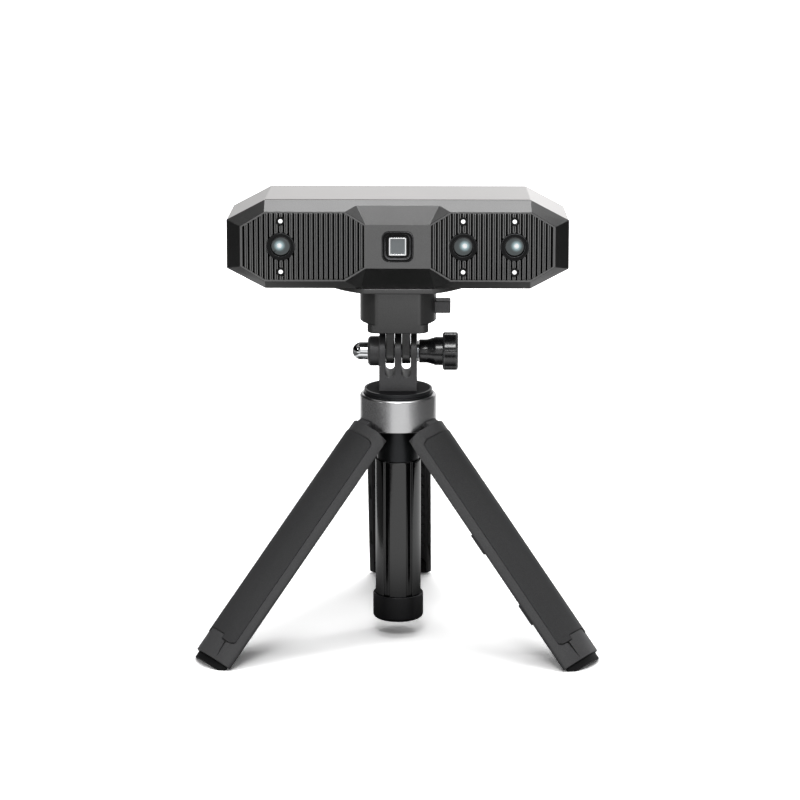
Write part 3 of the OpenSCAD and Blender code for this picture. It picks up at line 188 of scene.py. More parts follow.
level = add_node(sky, "ShaderNodeMix", {"Factor": path.outputs["Is Glossy Ray"], 2: 0.22,
                 3: backdrop.outputs[0]})
level = add_node(sky, "ShaderNodeMix", {"Factor": shown.outputs[0], 2: level.outputs[0], 3: 1.0})
glow = add_node(sky, "ShaderNodeBackground", {"Color": colour("#ffffff"), "Strength": level.outputs[0]})
add_node(sky, "ShaderNodeOutputWorld", {"Surface": glow.outputs[0]})


def softbox(name, place, target, width, height, power):
    lamp = bpy.data.lights.new(name, "AREA")
    lamp.shape = "RECTANGLE"
    lamp.size, lamp.size_y = width, height
    lamp.energy = power
    body = bpy.data.objects.new(name, lamp)
    body.location = place
    body.rotation_euler = (Vector(target) - Vector(place)).to_track_quat("-Z", "Y").to_euler()
    scene.collection.objects.link(body)


softbox("overhead_softbox", (0.1, -0.05, 1.1), (0.1, 0, 0.1), 1.0, 0.8, 8.4)
softbox("front_softbox", (-0.05, -1.15, 1.2), (0, 0, 0.09), 0.5, 0.4, 7)
softbox("left_window", (-0.85, -0.5, 0.65), (0, 0, 0.11), 0.3, 0.3, 1.4)
softbox("right_strip", (0.95, 0.5, 0.6), (0, 0, 0.11), 0.25, 0.7, 2)

# Rear shell.
# The back of the housing is an aluminium tray, pressed to a tapering octagon,
# bead-blasted and anodised silver. Its rim is the seat of the front bezel.
body_of = {node: body for body, nodes in frame["record"]["behaviour"]["bodies"].items()
           for node in nodes}


def stands_for(piece, node):
    """Hands a finished piece over in the place of a CAD node"""
    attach(piece, body_of[node])
    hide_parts(node)
    return piece


def reach_across(edge, face):
    """How far a face reaches away from one of its edges"""
    start = edge.verts[0].co
    along = (edge.verts[1].co - start).normalized()
    return max(((v.co - start) - (v.co - start).dot(along) * along).length for v in face.verts)


def finished(node, edge, material, steps=2, angle=28, soft=None, keep=None):
    """Stands a copy of a CAD piece in its place. Its sharp edges are rounded by edge in mm where
    the faces beside them have room for it. Soft is a wider rounding and a test for its edges, keep
    a test for edges that stay sharp because they lie flush with a neighbour."""
    shape = bmesh.new()
    shape.from_mesh(frame["nodes"][node].data)
    bmesh.ops.remove_doubles(shape, verts=shape.verts, dist=1e-6)
    bmesh.ops.dissolve_limit(shape, angle_limit=math.radians(0.5), verts=shape.verts, edges=shape.edges)
    # Marks the rounded edges, which the materials paint in an edge tone: wear and painted highlight.
    worn = shape.verts.layers.float.new("worn")
    if soft:
        wide = [e for e in shape.edges if e.is_manifold and soft[1](e)]
        bmesh.ops.bevel(shape, geom=wide, offset=soft[0] * MM, offset_type="OFFSET", segments=6,
                        profile=0.5, affect="EDGES", clamp_overlap=True)
    room = 2.5 * edge * MM
    sharp = [e for e in shape.edges
             if e.is_manifold and e.calc_face_angle(0) > math.radians(angle)
             and not (keep and keep(e))
             and all(reach_across(e, face) > room for face in e.link_faces)]
    for side in shape.edges:
        side.smooth = side.calc_face_angle(0) < math.radians(angle)
    made = bmesh.ops.bevel(shape, geom=sharp, offset=edge * MM, offset_type="OFFSET",
                           segments=steps, profile=0.5, affect="EDGES", clamp_overlap=False)
    rounded = set(made["faces"])
    for vertex in made["verts"]:
        vertex[worn] = all(face in rounded for face in vertex.link_faces)
    for face in shape.faces:
        face.smooth = True
    for face in rounded:
        for side in face.edges:
            side.smooth = True
    mesh = bpy.data.meshes.new(node + "_made")
    shape.to_mesh(mesh)
    shape.free()
    mesh.materials.clear()
    mesh.materials.append(material)
    piece = bpy.data.objects.new(node + "_made", mesh)
    scene.collection.objects.link(piece)
    even = piece.modifiers.new("even_normals", "WEIGHTED_NORMAL")
    even.keep_sharp = True
    return stands_for(piece, node)


def coat(node, material):
    """Gives a CAD piece that stays its finish"""
    mesh = frame["nodes"][node].data
    mesh.materials.clear()
    mesh.materials.append(material)


def moulded(name, hex_base, grain_mm, rough, bump, edge_wear_and_light_hex=None, specular=0.3, flake=0.0, edge_wear_and_light_share=0.35):
    """Moulded plastic or rubber: spark-eroded grain of a given size, which breaks its shine up, and rounded
    edges in an edge tone: where lighter, it is partly wear and partly a painted highlight; where darker, it
    is a painted shadow. Flake is the share of metal flake in a lacquer, which mirrors softly."""
    material, tree = new_material(name)
    place = add_node(tree, "ShaderNodeTexCoord")
    grain = add_node(tree, "ShaderNodeTexNoise", {"Vector": place.outputs["Object"],
                     "Scale": 1 / (grain_mm * MM), "Detail": 3, "Roughness": 0.6})
    cloud = add_node(tree, "ShaderNodeTexNoise", {"Vector": place.outputs["Object"],
                     "Scale": 1 / (18 * MM), "Detail": 2})
    base, edge_wear_and_light_colour = colour(hex_base), colour(edge_wear_and_light_hex or hex_base)
    tint = add_node(tree, "ShaderNodeMix", {"Factor": cloud.outputs[0],
                    6: [c * 0.92 for c in base[:3]] + [1],
                    7: [c * 1.08 for c in base[:3]] + [1]}, data_type="RGBA")
    speck = add_node(tree, "ShaderNodeMapRange", {0: grain.outputs[0], 1: 0.3, 2: 0.7, 3: 0.8, 4: 1.2})
    speck = add_node(tree, "ShaderNodeVectorMath", {0: tint.outputs[2], "Scale": speck.outputs[0]},
                     operation="SCALE")
    # The edge tone on rounded edges: partly wear, partly a painted highlight, and a painted shadow where it
    # is darker.
    edge = add_node(tree, "ShaderNodeAttribute", attribute_name="worn")
    edge_wear_and_light_mix = add_node(tree, "ShaderNodeMapRange", {0: cloud.outputs[0], 1: 0.4, 2: 0.65,
                    3: edge_wear_and_light_share * 0.2, 4: edge_wear_and_light_share})
    edge_wear_and_light_mix = add_node(tree, "ShaderNodeMath", {0: edge.outputs["Fac"], 1: edge_wear_and_light_mix.outputs[0]},
                    operation="MULTIPLY")
    skin = add_node(tree, "ShaderNodeMix", {"Factor": edge_wear_and_light_mix.outputs[0], 6: speck.outputs[0], 7: edge_wear_and_light_colour},
                    data_type="RGBA")
    gloss = add_node(tree, "ShaderNodeMapRange", {0: grain.outputs[0], 1: 0.3, 2: 0.7,
                     3: rough - 0.06, 4: rough + 0.06})
    relief = add_node(tree, "ShaderNodeBump", {"Height": grain.outputs[0], "Strength": bump,
                      "Distance": 0.05 * MM})
    surface = add_node(tree, "ShaderNodeBsdfPrincipled", {"Base Color": skin.outputs[2],
                       "Roughness": gloss.outputs[0], "Normal": relief.outputs[0], "IOR": 1.5,
                       "Specular IOR Level": specular, "Metallic": flake})
    add_node(tree, "ShaderNodeOutputMaterial", {"Surface": surface.outputs[0]})
    return material


def metal(name, hex_base, rough, stretch=(1, 1, 1), grain_mm=0.3, bump=0.1):
    """Bare or anodised metal: fine grain, drawn out along an axis where it was turned or brushed"""
    material, tree = new_material(name)
    place = add_node(tree, "ShaderNodeTexCoord")
    drawn = add_node(tree, "ShaderNodeMapping", {"Vector": place.outputs["Object"], "Scale": stretch})
    grain = add_node(tree, "ShaderNodeTexNoise", {"Vector": drawn.outputs[0],
                     "Scale": 1 / (grain_mm * MM), "Detail": 4, "Roughness": 0.6})
    cloud = add_node(tree, "ShaderNodeTexNoise", {"Vector": place.outputs["Object"],
                     "Scale": 1 / (25 * MM), "Detail": 2})
    base = colour(hex_base)
    tint = add_node(tree, "ShaderNodeMix", {"Factor": cloud.outputs[0],
                    6: [c * 0.94 for c in base[:3]] + [1], 7: [c * 1.05 for c in base[:3]] + [1]},
                    data_type="RGBA")
    gloss = add_node(tree, "ShaderNodeMapRange", {0: grain.outputs[0], 1: 0.3, 2: 0.7,
                     3: rough - 0.05, 4: rough + 0.05})
    relief = add_node(tree, "ShaderNodeBump", {"Height": grain.outputs[0], "Strength": bump,
                      "Distance": 0.03 * MM})
    surface = add_node(tree, "ShaderNodeBsdfPrincipled", {"Base Color": tint.outputs[2],
                       "Metallic": 1.0, "Roughness": gloss.outputs[0], "Normal": relief.outputs[0]})
    add_node(tree, "ShaderNodeOutputMaterial", {"Surface": surface.outputs[0]})
    return material


# Blasted and anodised: a soft, pale sheen without mirror images, and a very fine sparkle.
silver_anodised = metal("bead_blasted_anodised_aluminium", "#e2e0df", 0.34, grain_mm=0.25, bump=0.12)
finished("rear_shell", 0.3, silver_anodised, 3)

# Front bezel.
# One polycarbonate moulding with a satin lacquer of fine metal flake: a bevelled frame, a ribbed field on
# each side and a plain middle. The grooves of the fields are painted black, a painted shade, so they read
# as lines.

# The flake mirrors the studio softly, so that each facet has a tone of its own.
# On the ribs' crests the lacquer is painted a little lighter, a painted highlight, and the rounded edges
# are lighter still, partly wear and partly a painted highlight. The grooves' black is a painted shade that
# swallows the light.
flake_grey = moulded("satin_flake_lacquer", "#6b6b6b", 0.12, 0.36, 0.06, "#a6a6a6", 0.3, 0.9)
# A lighter copy of the bezel's lacquer for the crests: a painted highlight.
lit_crest_grey = moulded("satin_flake_lacquer_painted_lighter_on_crests", "#7a7a7a", 0.12, 0.36, 0.06, "#a6a6a6", 0.3,
                     0.9)
painted_groove_shade = moulded("black_painted_groove_shade", "#040404", 0.2, 0.8, 0.1, specular=0.05)
bezel = finished("front_bezel", 0.12, flake_grey, angle=12)
bezel.data.materials.append(painted_groove_shade)
HEAD = COLUMN + Vector((0, -13.1, 146.202)) * MM
FACE = -4.4 * MM
cameras = [(-40.9, 0, 0), (22.9, 0, 0), (40.9, 0, 0)]
lights = [(x, 0, z) for x, _, _ in cameras for z in (-9.05, 9.05)]
field_inner, field_outer, field_half_h = 11.7 * MM, 54.5 * MM, 11.9 * MM
just_under_face, just_over_floor = -4.385 * MM, -3.78 * MM
# The groove floors of the fields take the black: a painted shade.
for face in bezel.data.polygons:
    spot = face.center - HEAD
    deepest = max(bezel.data.vertices[v].co.y for v in face.vertices) - HEAD.y
    in_field = field_inner < abs(spot.x) < field_outer and abs(spot.z) < field_half_h
    if in_field and spot.y > just_under_face and deepest < just_over_floor:
        face.material_index = 1


def new_tree(name, sizes):
    """A Geometry Nodes tree: geometry goes in and out, and every size is a named input"""
    made = bpy.data.node_groups.new(name, "GeometryNodeTree")
    made.interface.new_socket("Geometry", in_out="INPUT", socket_type="NodeSocketGeometry")
    for label, kind in sizes.items():
        made.interface.new_socket(label, in_out="INPUT", socket_type="NodeSocket" + kind)
    made.interface.new_socket("Geometry", in_out="OUTPUT", socket_type="NodeSocketGeometry")
    return made, made.nodes.new("NodeGroupInput").outputs


def grown(name, tree, points, values, marks=None, closed=True):
    """Runs a tree on a few points, given in mm, and keeps the plain mesh that comes out"""
    seed = bpy.data.meshes.new(name + "_points")
    seed.from_pydata([[c * MM for c in p] for p in points], [], [])
    for label, numbers in (marks or {}).items():
        seed.attributes.new(label, "FLOAT", "POINT").data.foreach_set("value", numbers)
    holder = bpy.data.objects.new(name + "_seed", seed)
    scene.collection.objects.link(holder)
    growth = holder.modifiers.new("growth", "NODES")
    growth.node_group = tree
    for socket in tree.interface.items_tree:
        if socket.in_out == "INPUT" and socket.name in values:
            growth[socket.identifier] = values[socket.name]
    graph = bpy.context.evaluated_depsgraph_get()
    mesh = bpy.data.meshes.new_from_object(holder.evaluated_get(graph))
    bpy.data.objects.remove(holder)
    shape = bmesh.new()
    shape.from_mesh(mesh)
    if closed:
        bmesh.ops.recalc_face_normals(shape, faces=shape.faces)
    for face in shape.faces:
        face.smooth = True
    shape.to_mesh(mesh)
    shape.free()
    mesh.set_sharp_from_angle(angle=math.radians(40))
    piece = bpy.data.objects.new(name, mesh)
    scene.collection.objects.link(piece)
    return piece


# The ribs' crowns: bars that stand side by side over each field, each with a fine score line along its
# middle, painted black as a painted shade. They are cut to the field's outline and left out round the
# cameras and the fill lights.
ribbing, size = new_tree("rib_crowns", {
    "Pitch": "Float", "Width": "Float", "Height": "Float", "Rounding": "Float", "Score": "Float",
    "First": "Float", "Count": "Int", "Flat top": "Float", "Inner edge": "Float",
    "Inner top": "Float", "Inner corner": "Float", "Outer edge": "Float", "Outer top": "Float",
    "Outer corner": "Float", "Camera radius": "Float", "Light radius": "Float",
    "Material": "Material"})
start = add_node(ribbing, "ShaderNodeCombineXYZ", {0: size["First"]})
stride = add_node(ribbing, "ShaderNodeCombineXYZ", {0: size["Pitch"]})
row = add_node(ribbing, "GeometryNodeMeshLine", {"Count": size["Count"], "Start Location": start.outputs[0],
               "Offset": stride.outputs[0]}, mode="OFFSET")
bar = add_node(ribbing, "GeometryNodeMeshGrid", {"Size X": size["Width"], "Size Y": 2, "Vertices X": 15,
               "Vertices Y": 81})
bars = add_node(ribbing, "GeometryNodeInstanceOnPoints", {"Points": row.outputs[0],
                "Instance": bar.outputs["Mesh"]})
bars = add_node(ribbing, "GeometryNodeRealizeInstances", {0: bars.outputs[0]})
spot = add_node(ribbing, "GeometryNodeInputPosition")
spot = add_node(ribbing, "ShaderNodeSeparateXYZ", {0: spot.outputs[0]})
inner = add_node(ribbing, "ShaderNodeMapRange", {0: spot.outputs["X"], 1: size["Inner edge"],
                 2: size["Inner corner"], 3: size["Inner top"], 4: size["Flat top"]}, clamp=False)
outer = add_node(ribbing, "ShaderNodeMapRange", {0: spot.outputs["X"], 1: size["Outer corner"],
                 2: size["Outer edge"], 3: size["Flat top"], 4: size["Outer top"]}, clamp=False)
top = add_node(ribbing, "ShaderNodeMath", {0: inner.outputs[0], 1: outer.outputs[0]}, operation="MINIMUM")
top = add_node(ribbing, "ShaderNodeMath", {0: top.outputs[0], 1: size["Flat top"]}, operation="MINIMUM")
tall = add_node(ribbing, "ShaderNodeMath", {0: spot.outputs["Y"], 1: top.outputs[0]}, operation="MULTIPLY")
step = add_node(ribbing, "ShaderNodeMath", {0: spot.outputs["X"], 1: size["First"]}, operation="SUBTRACT")
step = add_node(ribbing, "ShaderNodeMath", {0: step.outputs[0], 1: size["Pitch"]}, operation="DIVIDE")
whole = add_node(ribbing, "ShaderNodeMath", {0: step.outputs[0]}, operation="ROUND")
step = add_node(ribbing, "ShaderNodeMath", {0: step.outputs[0], 1: whole.outputs[0]}, operation="SUBTRACT")
across = add_node(ribbing, "ShaderNodeMath", {0: step.outputs[0], 1: size["Pitch"]}, operation="MULTIPLY")
half = add_node(ribbing, "ShaderNodeMath", {0: size["Width"], 1: 0.5}, operation="MULTIPLY")
rise = size["Height"]
for offset, limit in ((across, half), (tall, top)):
    off = add_node(ribbing, "ShaderNodeMath", {0: offset.outputs[0]}, operation="ABSOLUTE")
    left = add_node(ribbing, "ShaderNodeMath", {0: limit.outputs[0], 1: off.outputs[0]},
                    operation="SUBTRACT")
    round_off = add_node(ribbing, "ShaderNodeMath", {0: left.outputs[0], 1: size["Rounding"]},
                         operation="DIVIDE", use_clamp=True)
    round_off = add_node(ribbing, "ShaderNodeMath", {0: 1.0, 1: round_off.outputs[0]}, operation="SUBTRACT")
    round_off = add_node(ribbing, "ShaderNodeMath", {0: round_off.outputs[0], 1: 2.0}, operation="POWER")
    round_off = add_node(ribbing, "ShaderNodeMath", {0: 1.0, 1: round_off.outputs[0]}, operation="SUBTRACT")
    rise = add_node(ribbing, "ShaderNodeMath", {0: rise, 1: round_off.outputs[0]},
                    operation="MULTIPLY").outputs[0]
score = add_node(ribbing, "ShaderNodeMath", {0: across.outputs[0]}, operation="ABSOLUTE")
score = add_node(ribbing, "ShaderNodeMath", {0: score.outputs[0], 1: size["Score"]}, operation="DIVIDE",
                 use_clamp=True)
rise = add_node(ribbing, "ShaderNodeMath", {0: rise, 1: score.outputs[0]}, operation="MULTIPLY")
rise = add_node(ribbing, "ShaderNodeMath", {0: rise.outputs[0], 1: -1.0}, operation="MULTIPLY")
crown = add_node(ribbing, "ShaderNodeCombineXYZ", {0: spot.outputs["X"], 1: rise.outputs[0],
                 2: tall.outputs[0]})
wing = add_node(ribbing, "GeometryNodeSetPosition", {"Geometry": bars.outputs[0],
                "Position": crown.outputs[0]})
other = add_node(ribbing, "GeometryNodeTransform", {"Geometry": wing.outputs[0], "Scale": (-1, 1, 1)})
other = add_node(ribbing, "GeometryNodeFlipFaces", {0: other.outputs[0]})
wings = add_node(ribbing, "GeometryNodeJoinGeometry", {0: wing.outputs[0]})
ribbing.links.new(other.outputs[0], wings.inputs[0])
lamp = add_node(ribbing, "GeometryNodeInputNamedAttribute", {"Name": "lamp"}, data_type="FLOAT")
holes = add_node(ribbing, "GeometryNodeSeparateGeometry", {"Geometry": size["Geometry"],
                 "Selection": lamp.outputs[0]})
kept = wings
for centres, radius in ((holes.outputs["Inverted"], "Camera radius"),
                        (holes.outputs["Selection"], "Light radius")):
    apart = add_node(ribbing, "GeometryNodeProximity", {0: centres}, target_element="POINTS")
    close = add_node(ribbing, "FunctionNodeCompare", {0: apart.outputs["Distance"], 1: size[radius]},
                     operation="LESS_THAN")
    kept = add_node(ribbing, "GeometryNodeDeleteGeometry", {"Geometry": kept.outputs[0],
                    "Selection": close.outputs[0]}, domain="POINT")
kept = add_node(ribbing, "GeometryNodeRealizeInstances", {0: kept.outputs[0]})
kept = add_node(ribbing, "GeometryNodeSetMaterial", {"Geometry": kept.outputs[0],
                "Material": size["Material"]})
add_node(ribbing, "NodeGroupOutput", {0: kept.outputs[0]})
rib_pitch, first_rib = 1.743 * MM, 12.843 * MM
ribs = grown("rib_crowns", ribbing, cameras + lights, {
    "Pitch": rib_pitch, "Width": 1.14 * MM, "Height": 0.13 * MM, "Rounding": 0.075 * MM,
    "Score": 0.16 * MM, "First": first_rib, "Count": 24, "Flat top": 11.8 * MM, "Inner edge": 11.8 * MM,
    "Inner top": 7.45 * MM, "Inner corner": 18.85 * MM, "Outer edge": 54.4 * MM,
    "Outer top": 6.85 * MM, "Outer corner": 46.25 * MM, "Camera radius": 5.05 * MM,
    "Light radius": 1.5 * MM, "Material": lit_crest_grey},
    {"lamp": [0.0] * len(cameras) + [1.0] * len(lights)}, closed=False)
ribs.data.materials.append(painted_groove_shade)
# The score lines' faces take the groove black: a painted shade.
score_share = 0.09
for face in ribs.data.polygons:
    past_first = (abs(face.center.x) - first_rib) / rib_pitch
    if abs(past_first - round(past_first)) < score_share:
        face.material_index = len(ribs.data.materials) - 1
ribs.data.transform(Matrix.Translation(HEAD + Vector((0, FACE, 0))))
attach(ribs, "head")

# Camera rings, lenses and modules.
# Each camera looks out of a black moulded ring. Its front lens is a polished,
# coated glass meniscus that is sealed into the ring; a barrel and a square
# sensor housing stand behind it.

# Black ABS with a fine spark-eroded grain: dull, with its rims painted lighter, a thin painted highlight.
ring_black = moulded("black_moulded_abs", "#111112", 0.2, 0.34, 0.08, "#77787b", 0.15, edge_wear_and_light_share=0.7)
for name in ("left", "inner", "right"):
    finished(name + "_camera_ring", 0.18, ring_black, 3)
    coat(name + "_camera_module", ring_black)

turning, size = new_tree("turned_part", {
    "Steps round": "Int", "Grooves": "Int", "Groove width": "Float", "Groove depth": "Float",
    "Groove edge": "Float", "Groove angle": "Float", "Material": "Material"})
rings = add_node(turning, "GeometryNodeAttributeDomainSize", {0: size["Geometry"]})
blank = add_node(turning, "GeometryNodeMeshGrid", {"Size X": 1, "Size Y": 1,
                 "Vertices X": rings.outputs["Point Count"], "Vertices Y": size["Steps round"]})
spot = add_node(turning, "GeometryNodeInputPosition")
cell = add_node(turning, "ShaderNodeSeparateXYZ", {0: spot.outputs[0]})
last = add_node(turning, "ShaderNodeMath", {0: rings.outputs["Point Count"], 1: 1.0}, operation="SUBTRACT")
ring = add_node(turning, "ShaderNodeMath", {0: cell.outputs["X"], 1: 0.5}, operation="ADD")
ring = add_node(turning, "ShaderNodeMath", {0: ring.outputs[0], 1: last.outputs[0]}, operation="MULTIPLY")
ring = add_node(turning, "ShaderNodeMath", {0: ring.outputs[0]}, operation="ROUND")
profile = add_node(turning, "GeometryNodeSampleIndex", {"Geometry": size["Geometry"],
                   "Value": spot.outputs[0], "Index": ring.outputs[0]}, data_type="FLOAT_VECTOR")
profile = add_node(turning, "ShaderNodeSeparateXYZ", {0: profile.outputs[0]})
mark = {}
for label in ("cut", "worn"):
    named = add_node(turning, "GeometryNodeInputNamedAttribute", {"Name": label}, data_type="FLOAT")
    mark[label] = add_node(turning, "GeometryNodeSampleIndex", {"Geometry": size["Geometry"],
                           "Value": named.outputs[0], "Index": ring.outputs[0]}, data_type="FLOAT")
turn = add_node(turning, "ShaderNodeMath", {0: cell.outputs["Y"], 1: 0.5}, operation="ADD")
turn = add_node(turning, "ShaderNodeMath", {0: turn.outputs[0], 1: math.tau}, operation="MULTIPLY")
lobe = add_node(turning, "ShaderNodeMath", {0: math.tau, 1: size["Grooves"]}, operation="DIVIDE")
past = add_node(turning, "ShaderNodeMath", {0: turn.outputs[0], 1: size["Groove angle"]},
                operation="SUBTRACT")
past = add_node(turning, "ShaderNodeMath", {0: past.outputs[0], 1: lobe.outputs[0]}, operation="DIVIDE")
whole = add_node(turning, "ShaderNodeMath", {0: past.outputs[0]}, operation="ROUND")
past = add_node(turning, "ShaderNodeMath", {0: past.outputs[0], 1: whole.outputs[0]},
                operation="SUBTRACT")
past = add_node(turning, "ShaderNodeMath", {0: past.outputs[0], 1: lobe.outputs[0]},
                operation="MULTIPLY")
past = add_node(turning, "ShaderNodeMath", {0: past.outputs[0], 1: profile.outputs["X"]},
                operation="MULTIPLY")
past = add_node(turning, "ShaderNodeMath", {0: past.outputs[0]}, operation="ABSOLUTE")
half = add_node(turning, "ShaderNodeMath", {0: size["Groove width"], 1: 0.5}, operation="MULTIPLY")
floor_end = add_node(turning, "ShaderNodeMath", {0: half.outputs[0], 1: size["Groove edge"]},
                     operation="SUBTRACT")
lip = add_node(turning, "ShaderNodeMath", {0: half.outputs[0], 1: size["Groove edge"]}, operation="ADD")
groove = add_node(turning, "ShaderNodeMapRange", {0: past.outputs[0], 1: floor_end.outputs[0],
                  2: lip.outputs[0], 3: 1.0, 4: 0.0}, interpolation_type="SMOOTHSTEP")
groove = add_node(turning, "ShaderNodeMath", {0: groove.outputs[0], 1: mark["cut"].outputs[0]},
                  operation="MULTIPLY")
groove = add_node(turning, "ShaderNodeMath", {0: groove.outputs[0], 1: size["Groove depth"]},
                  operation="MULTIPLY")
radius = add_node(turning, "ShaderNodeMath", {0: profile.outputs["X"], 1: groove.outputs[0]},
                  operation="SUBTRACT")
east = add_node(turning, "ShaderNodeMath", {0: turn.outputs[0]}, operation="COSINE")
east = add_node(turning, "ShaderNodeMath", {0: east.outputs[0], 1: radius.outputs[0]},
                operation="MULTIPLY")
north = add_node(turning, "ShaderNodeMath", {0: turn.outputs[0]}, operation="SINE")
north = add_node(turning, "ShaderNodeMath", {0: north.outputs[0], 1: radius.outputs[0]},
                 operation="MULTIPLY")
turned = add_node(turning, "ShaderNodeCombineXYZ", {0: east.outputs[0], 1: north.outputs[0],
                  2: profile.outputs["Z"]})
part = blank.outputs["Mesh"]
for label, value in (("worn", mark["worn"].outputs[0]), ("from_axis", profile.outputs["X"])):
    part = add_node(turning, "GeometryNodeStoreNamedAttribute", {"Geometry": part, "Name": label,
                    "Value": value}, data_type="FLOAT", domain="POINT").outputs[0]
part = add_node(turning, "GeometryNodeSetPosition", {"Geometry": part, "Position": turned.outputs[0]})
part = add_node(turning, "GeometryNodeMergeByDistance", {"Geometry": part.outputs[0],
                "Distance": 0.001 * MM})
part = add_node(turning, "GeometryNodeRealizeInstances", {0: part.outputs[0]})
part = add_node(turning, "GeometryNodeSetMaterial", {"Geometry": part.outputs[0],
                "Material": size["Material"]})
add_node(turning, "NodeGroupOutput", {0: part.outputs[0]})

setting, size = new_tree("set_out", {"Part": "Object", "Material": "Material"})
part = add_node(setting, "GeometryNodeObjectInfo", {"Object": size["Part"]})
copies = add_node(setting, "GeometryNodeInstanceOnPoints", {"Points": size["Geometry"],
                  "Instance": part.outputs["Geometry"]})
copies = add_node(setting, "GeometryNodeRealizeInstances", {0: copies.outputs[0]})
copies = add_node(setting, "GeometryNodeSetMaterial", {"Geometry": copies.outputs[0],
                  "Material": size["Material"]})
add_node(setting, "NodeGroupOutput", {0: copies.outputs[0]})


def turned_part(name, profile, material, axis=Matrix(), grooves=None):
    """Turns a profile of (radius, height, groove share, rounded-edge mark) in mm about Z, then lays it
    along an axis. The mark takes the edge tone: wear and painted highlight.
    """
    values = {"Steps round": 97, "Grooves": 1, "Groove width": 0.0, "Groove depth": 0.0,
              "Groove edge": 0.001 * MM, "Groove angle": 0.0, "Material": material}
    values.update(grooves or {})
    piece = grown(name, turning, [(r, 0, z) for r, z, _, _ in profile], values,
                  {"cut": [float(p[2]) for p in profile], "worn": [float(p[3]) for p in profile]})
    piece.data.transform(axis)
    return piece


def set_out(name, part, points, material):
    """Copies of a part on every point, as one mesh. The part itself goes."""
    piece = grown(name, setting, points, {"Part": part, "Material": material})
    bpy.data.objects.remove(part)
    return piece


FORWARD = Matrix.Rotation(math.radians(90), 4, "X")
BACKWARD = Matrix.Rotation(math.radians(-90), 4, "X")
ALONG_X = Matrix.Rotation(math.radians(90), 4, "Y")

# The lens's colour is a painted reflection: a bright blue-white image of the studio painted beside the
# middle of each lens, fading into grey-green glass that is blackened at its rim. The lens also glows
# faintly in these colours, though it is no lamp.
lens_with_painted_reflection, tree = new_material("coated_glass_with_painted_reflection")
out = add_node(tree, "ShaderNodeAttribute", attribute_name="from_painted_glint")
out = add_node(tree, "ShaderNodeMapRange", {0: out.outputs["Fac"], 1: 0.0, 2: 2.5 * MM, 3: 0.0, 4: 1.0})
bands = add_node(tree, "ShaderNodeValToRGB", {0: out.outputs[0]})
stops = bands.color_ramp.elements
stops[0].position, stops[0].color = 0.24, colour("#ffffff")
stops[1].position, stops[1].color = 1.0, colour("#3c4445")
for position, shade in ((0.38, "#b4cbd0"), (0.6, "#7d9296"), (0.8, "#4c5658")):
    stops.new(position).color = colour(shade)
out = add_node(tree, "ShaderNodeAttribute", attribute_name="from_axis")
rim = add_node(tree, "ShaderNodeMapRange", {0: out.outputs["Fac"], 1: 2.95 * MM, 2: 3.15 * MM,
               3: 0.0, 4: 1.0})
glass = add_node(tree, "ShaderNodeMix", {"Factor": rim.outputs[0], 6: bands.outputs[0],
                 7: colour("#101212")}, data_type="RGBA")
place = add_node(tree, "ShaderNodeTexCoord")
smear = add_node(tree, "ShaderNodeTexNoise", {"Vector": place.outputs["Object"],
                 "Scale": 1 / (2 * MM), "Detail": 2})
gloss = add_node(tree, "ShaderNodeMapRange", {0: smear.outputs[0], 1: 0.3, 2: 0.7, 3: 0.03, 4: 0.08})
surface = add_node(tree, "ShaderNodeBsdfPrincipled", {"Base Color": glass.outputs[2],
                   "Roughness": gloss.outputs[0], "IOR": 1.5, "Coat Weight": 0.3, "Coat Roughness": 0.03,
                   "Emission Color": glass.outputs[2], "Emission Strength": 0.38})
add_node(tree, "ShaderNodeOutputMaterial", {"Surface": surface.outputs[0]})
meniscus = [(0, -0.8, 0, 0), (3.45, -0.8, 0, 0), (3.5, -0.7, 0, 0), (3.5, -0.05, 0, 0)]
meniscus += [(r, 0.32 * (1 - (r / 3.5) ** 2), 0, 0)
             for r in [3.45] + [3.3 - 0.15 * step for step in range(22)] + [0]]
glass = turned_part("lens_blank", meniscus, lens_with_painted_reflection, FORWARD)
lenses = set_out("camera_lenses", glass, cameras, lens_with_painted_reflection)
# Where the painted reflection sits on each lens.
painted_glints = [(-41.3, 0.3), (23.5, 0.3), (41.6, 0.3)]
lenses.data.attributes.new("from_painted_glint", "FLOAT", "POINT").data.foreach_set("value", [
    min(math.hypot(v.co.x - x * MM, v.co.z - z * MM) for x, z in painted_glints) for v in lenses.data.vertices])
lenses.data.transform(Matrix.Translation(HEAD + Vector((0, -3.9 * MM, 0))))
stands_for(lenses, "camera_windows")

# Fill lights.
# A clear polycarbonate dome stands above and below each camera, pressed into the bezel from behind. It is
# painted with a black collar round a grey ring and a white middle, and glows in these colours: the white
# middle is a painted highlight.
dome_with_painted_glow, tree = new_material("dome_with_painted_white_glow")
out = add_node(tree, "ShaderNodeAttribute", attribute_name="from_axis")
out = add_node(tree, "ShaderNodeMapRange", {0: out.outputs["Fac"], 1: 0.0, 2: 1.4 * MM, 3: 0.0, 4: 1.0})
bands = add_node(tree, "ShaderNodeValToRGB", {0: out.outputs[0]})
stops = bands.color_ramp.elements
stops[0].position, stops[0].color = 0.46, colour("#ffffff")
stops[1].position, stops[1].color = 0.6, colour("#070707")
stops.new(0.53).color = colour("#9d9fa0")
place = add_node(tree, "ShaderNodeTexCoord")
smear = add_node(tree, "ShaderNodeTexNoise", {"Vector": place.outputs["Object"],
                 "Scale": 1 / (1 * MM), "Detail": 2})
gloss = add_node(tree, "ShaderNodeMapRange", {0: smear.outputs[0], 1: 0.3, 2: 0.7, 3: 0.06, 4: 0.12})
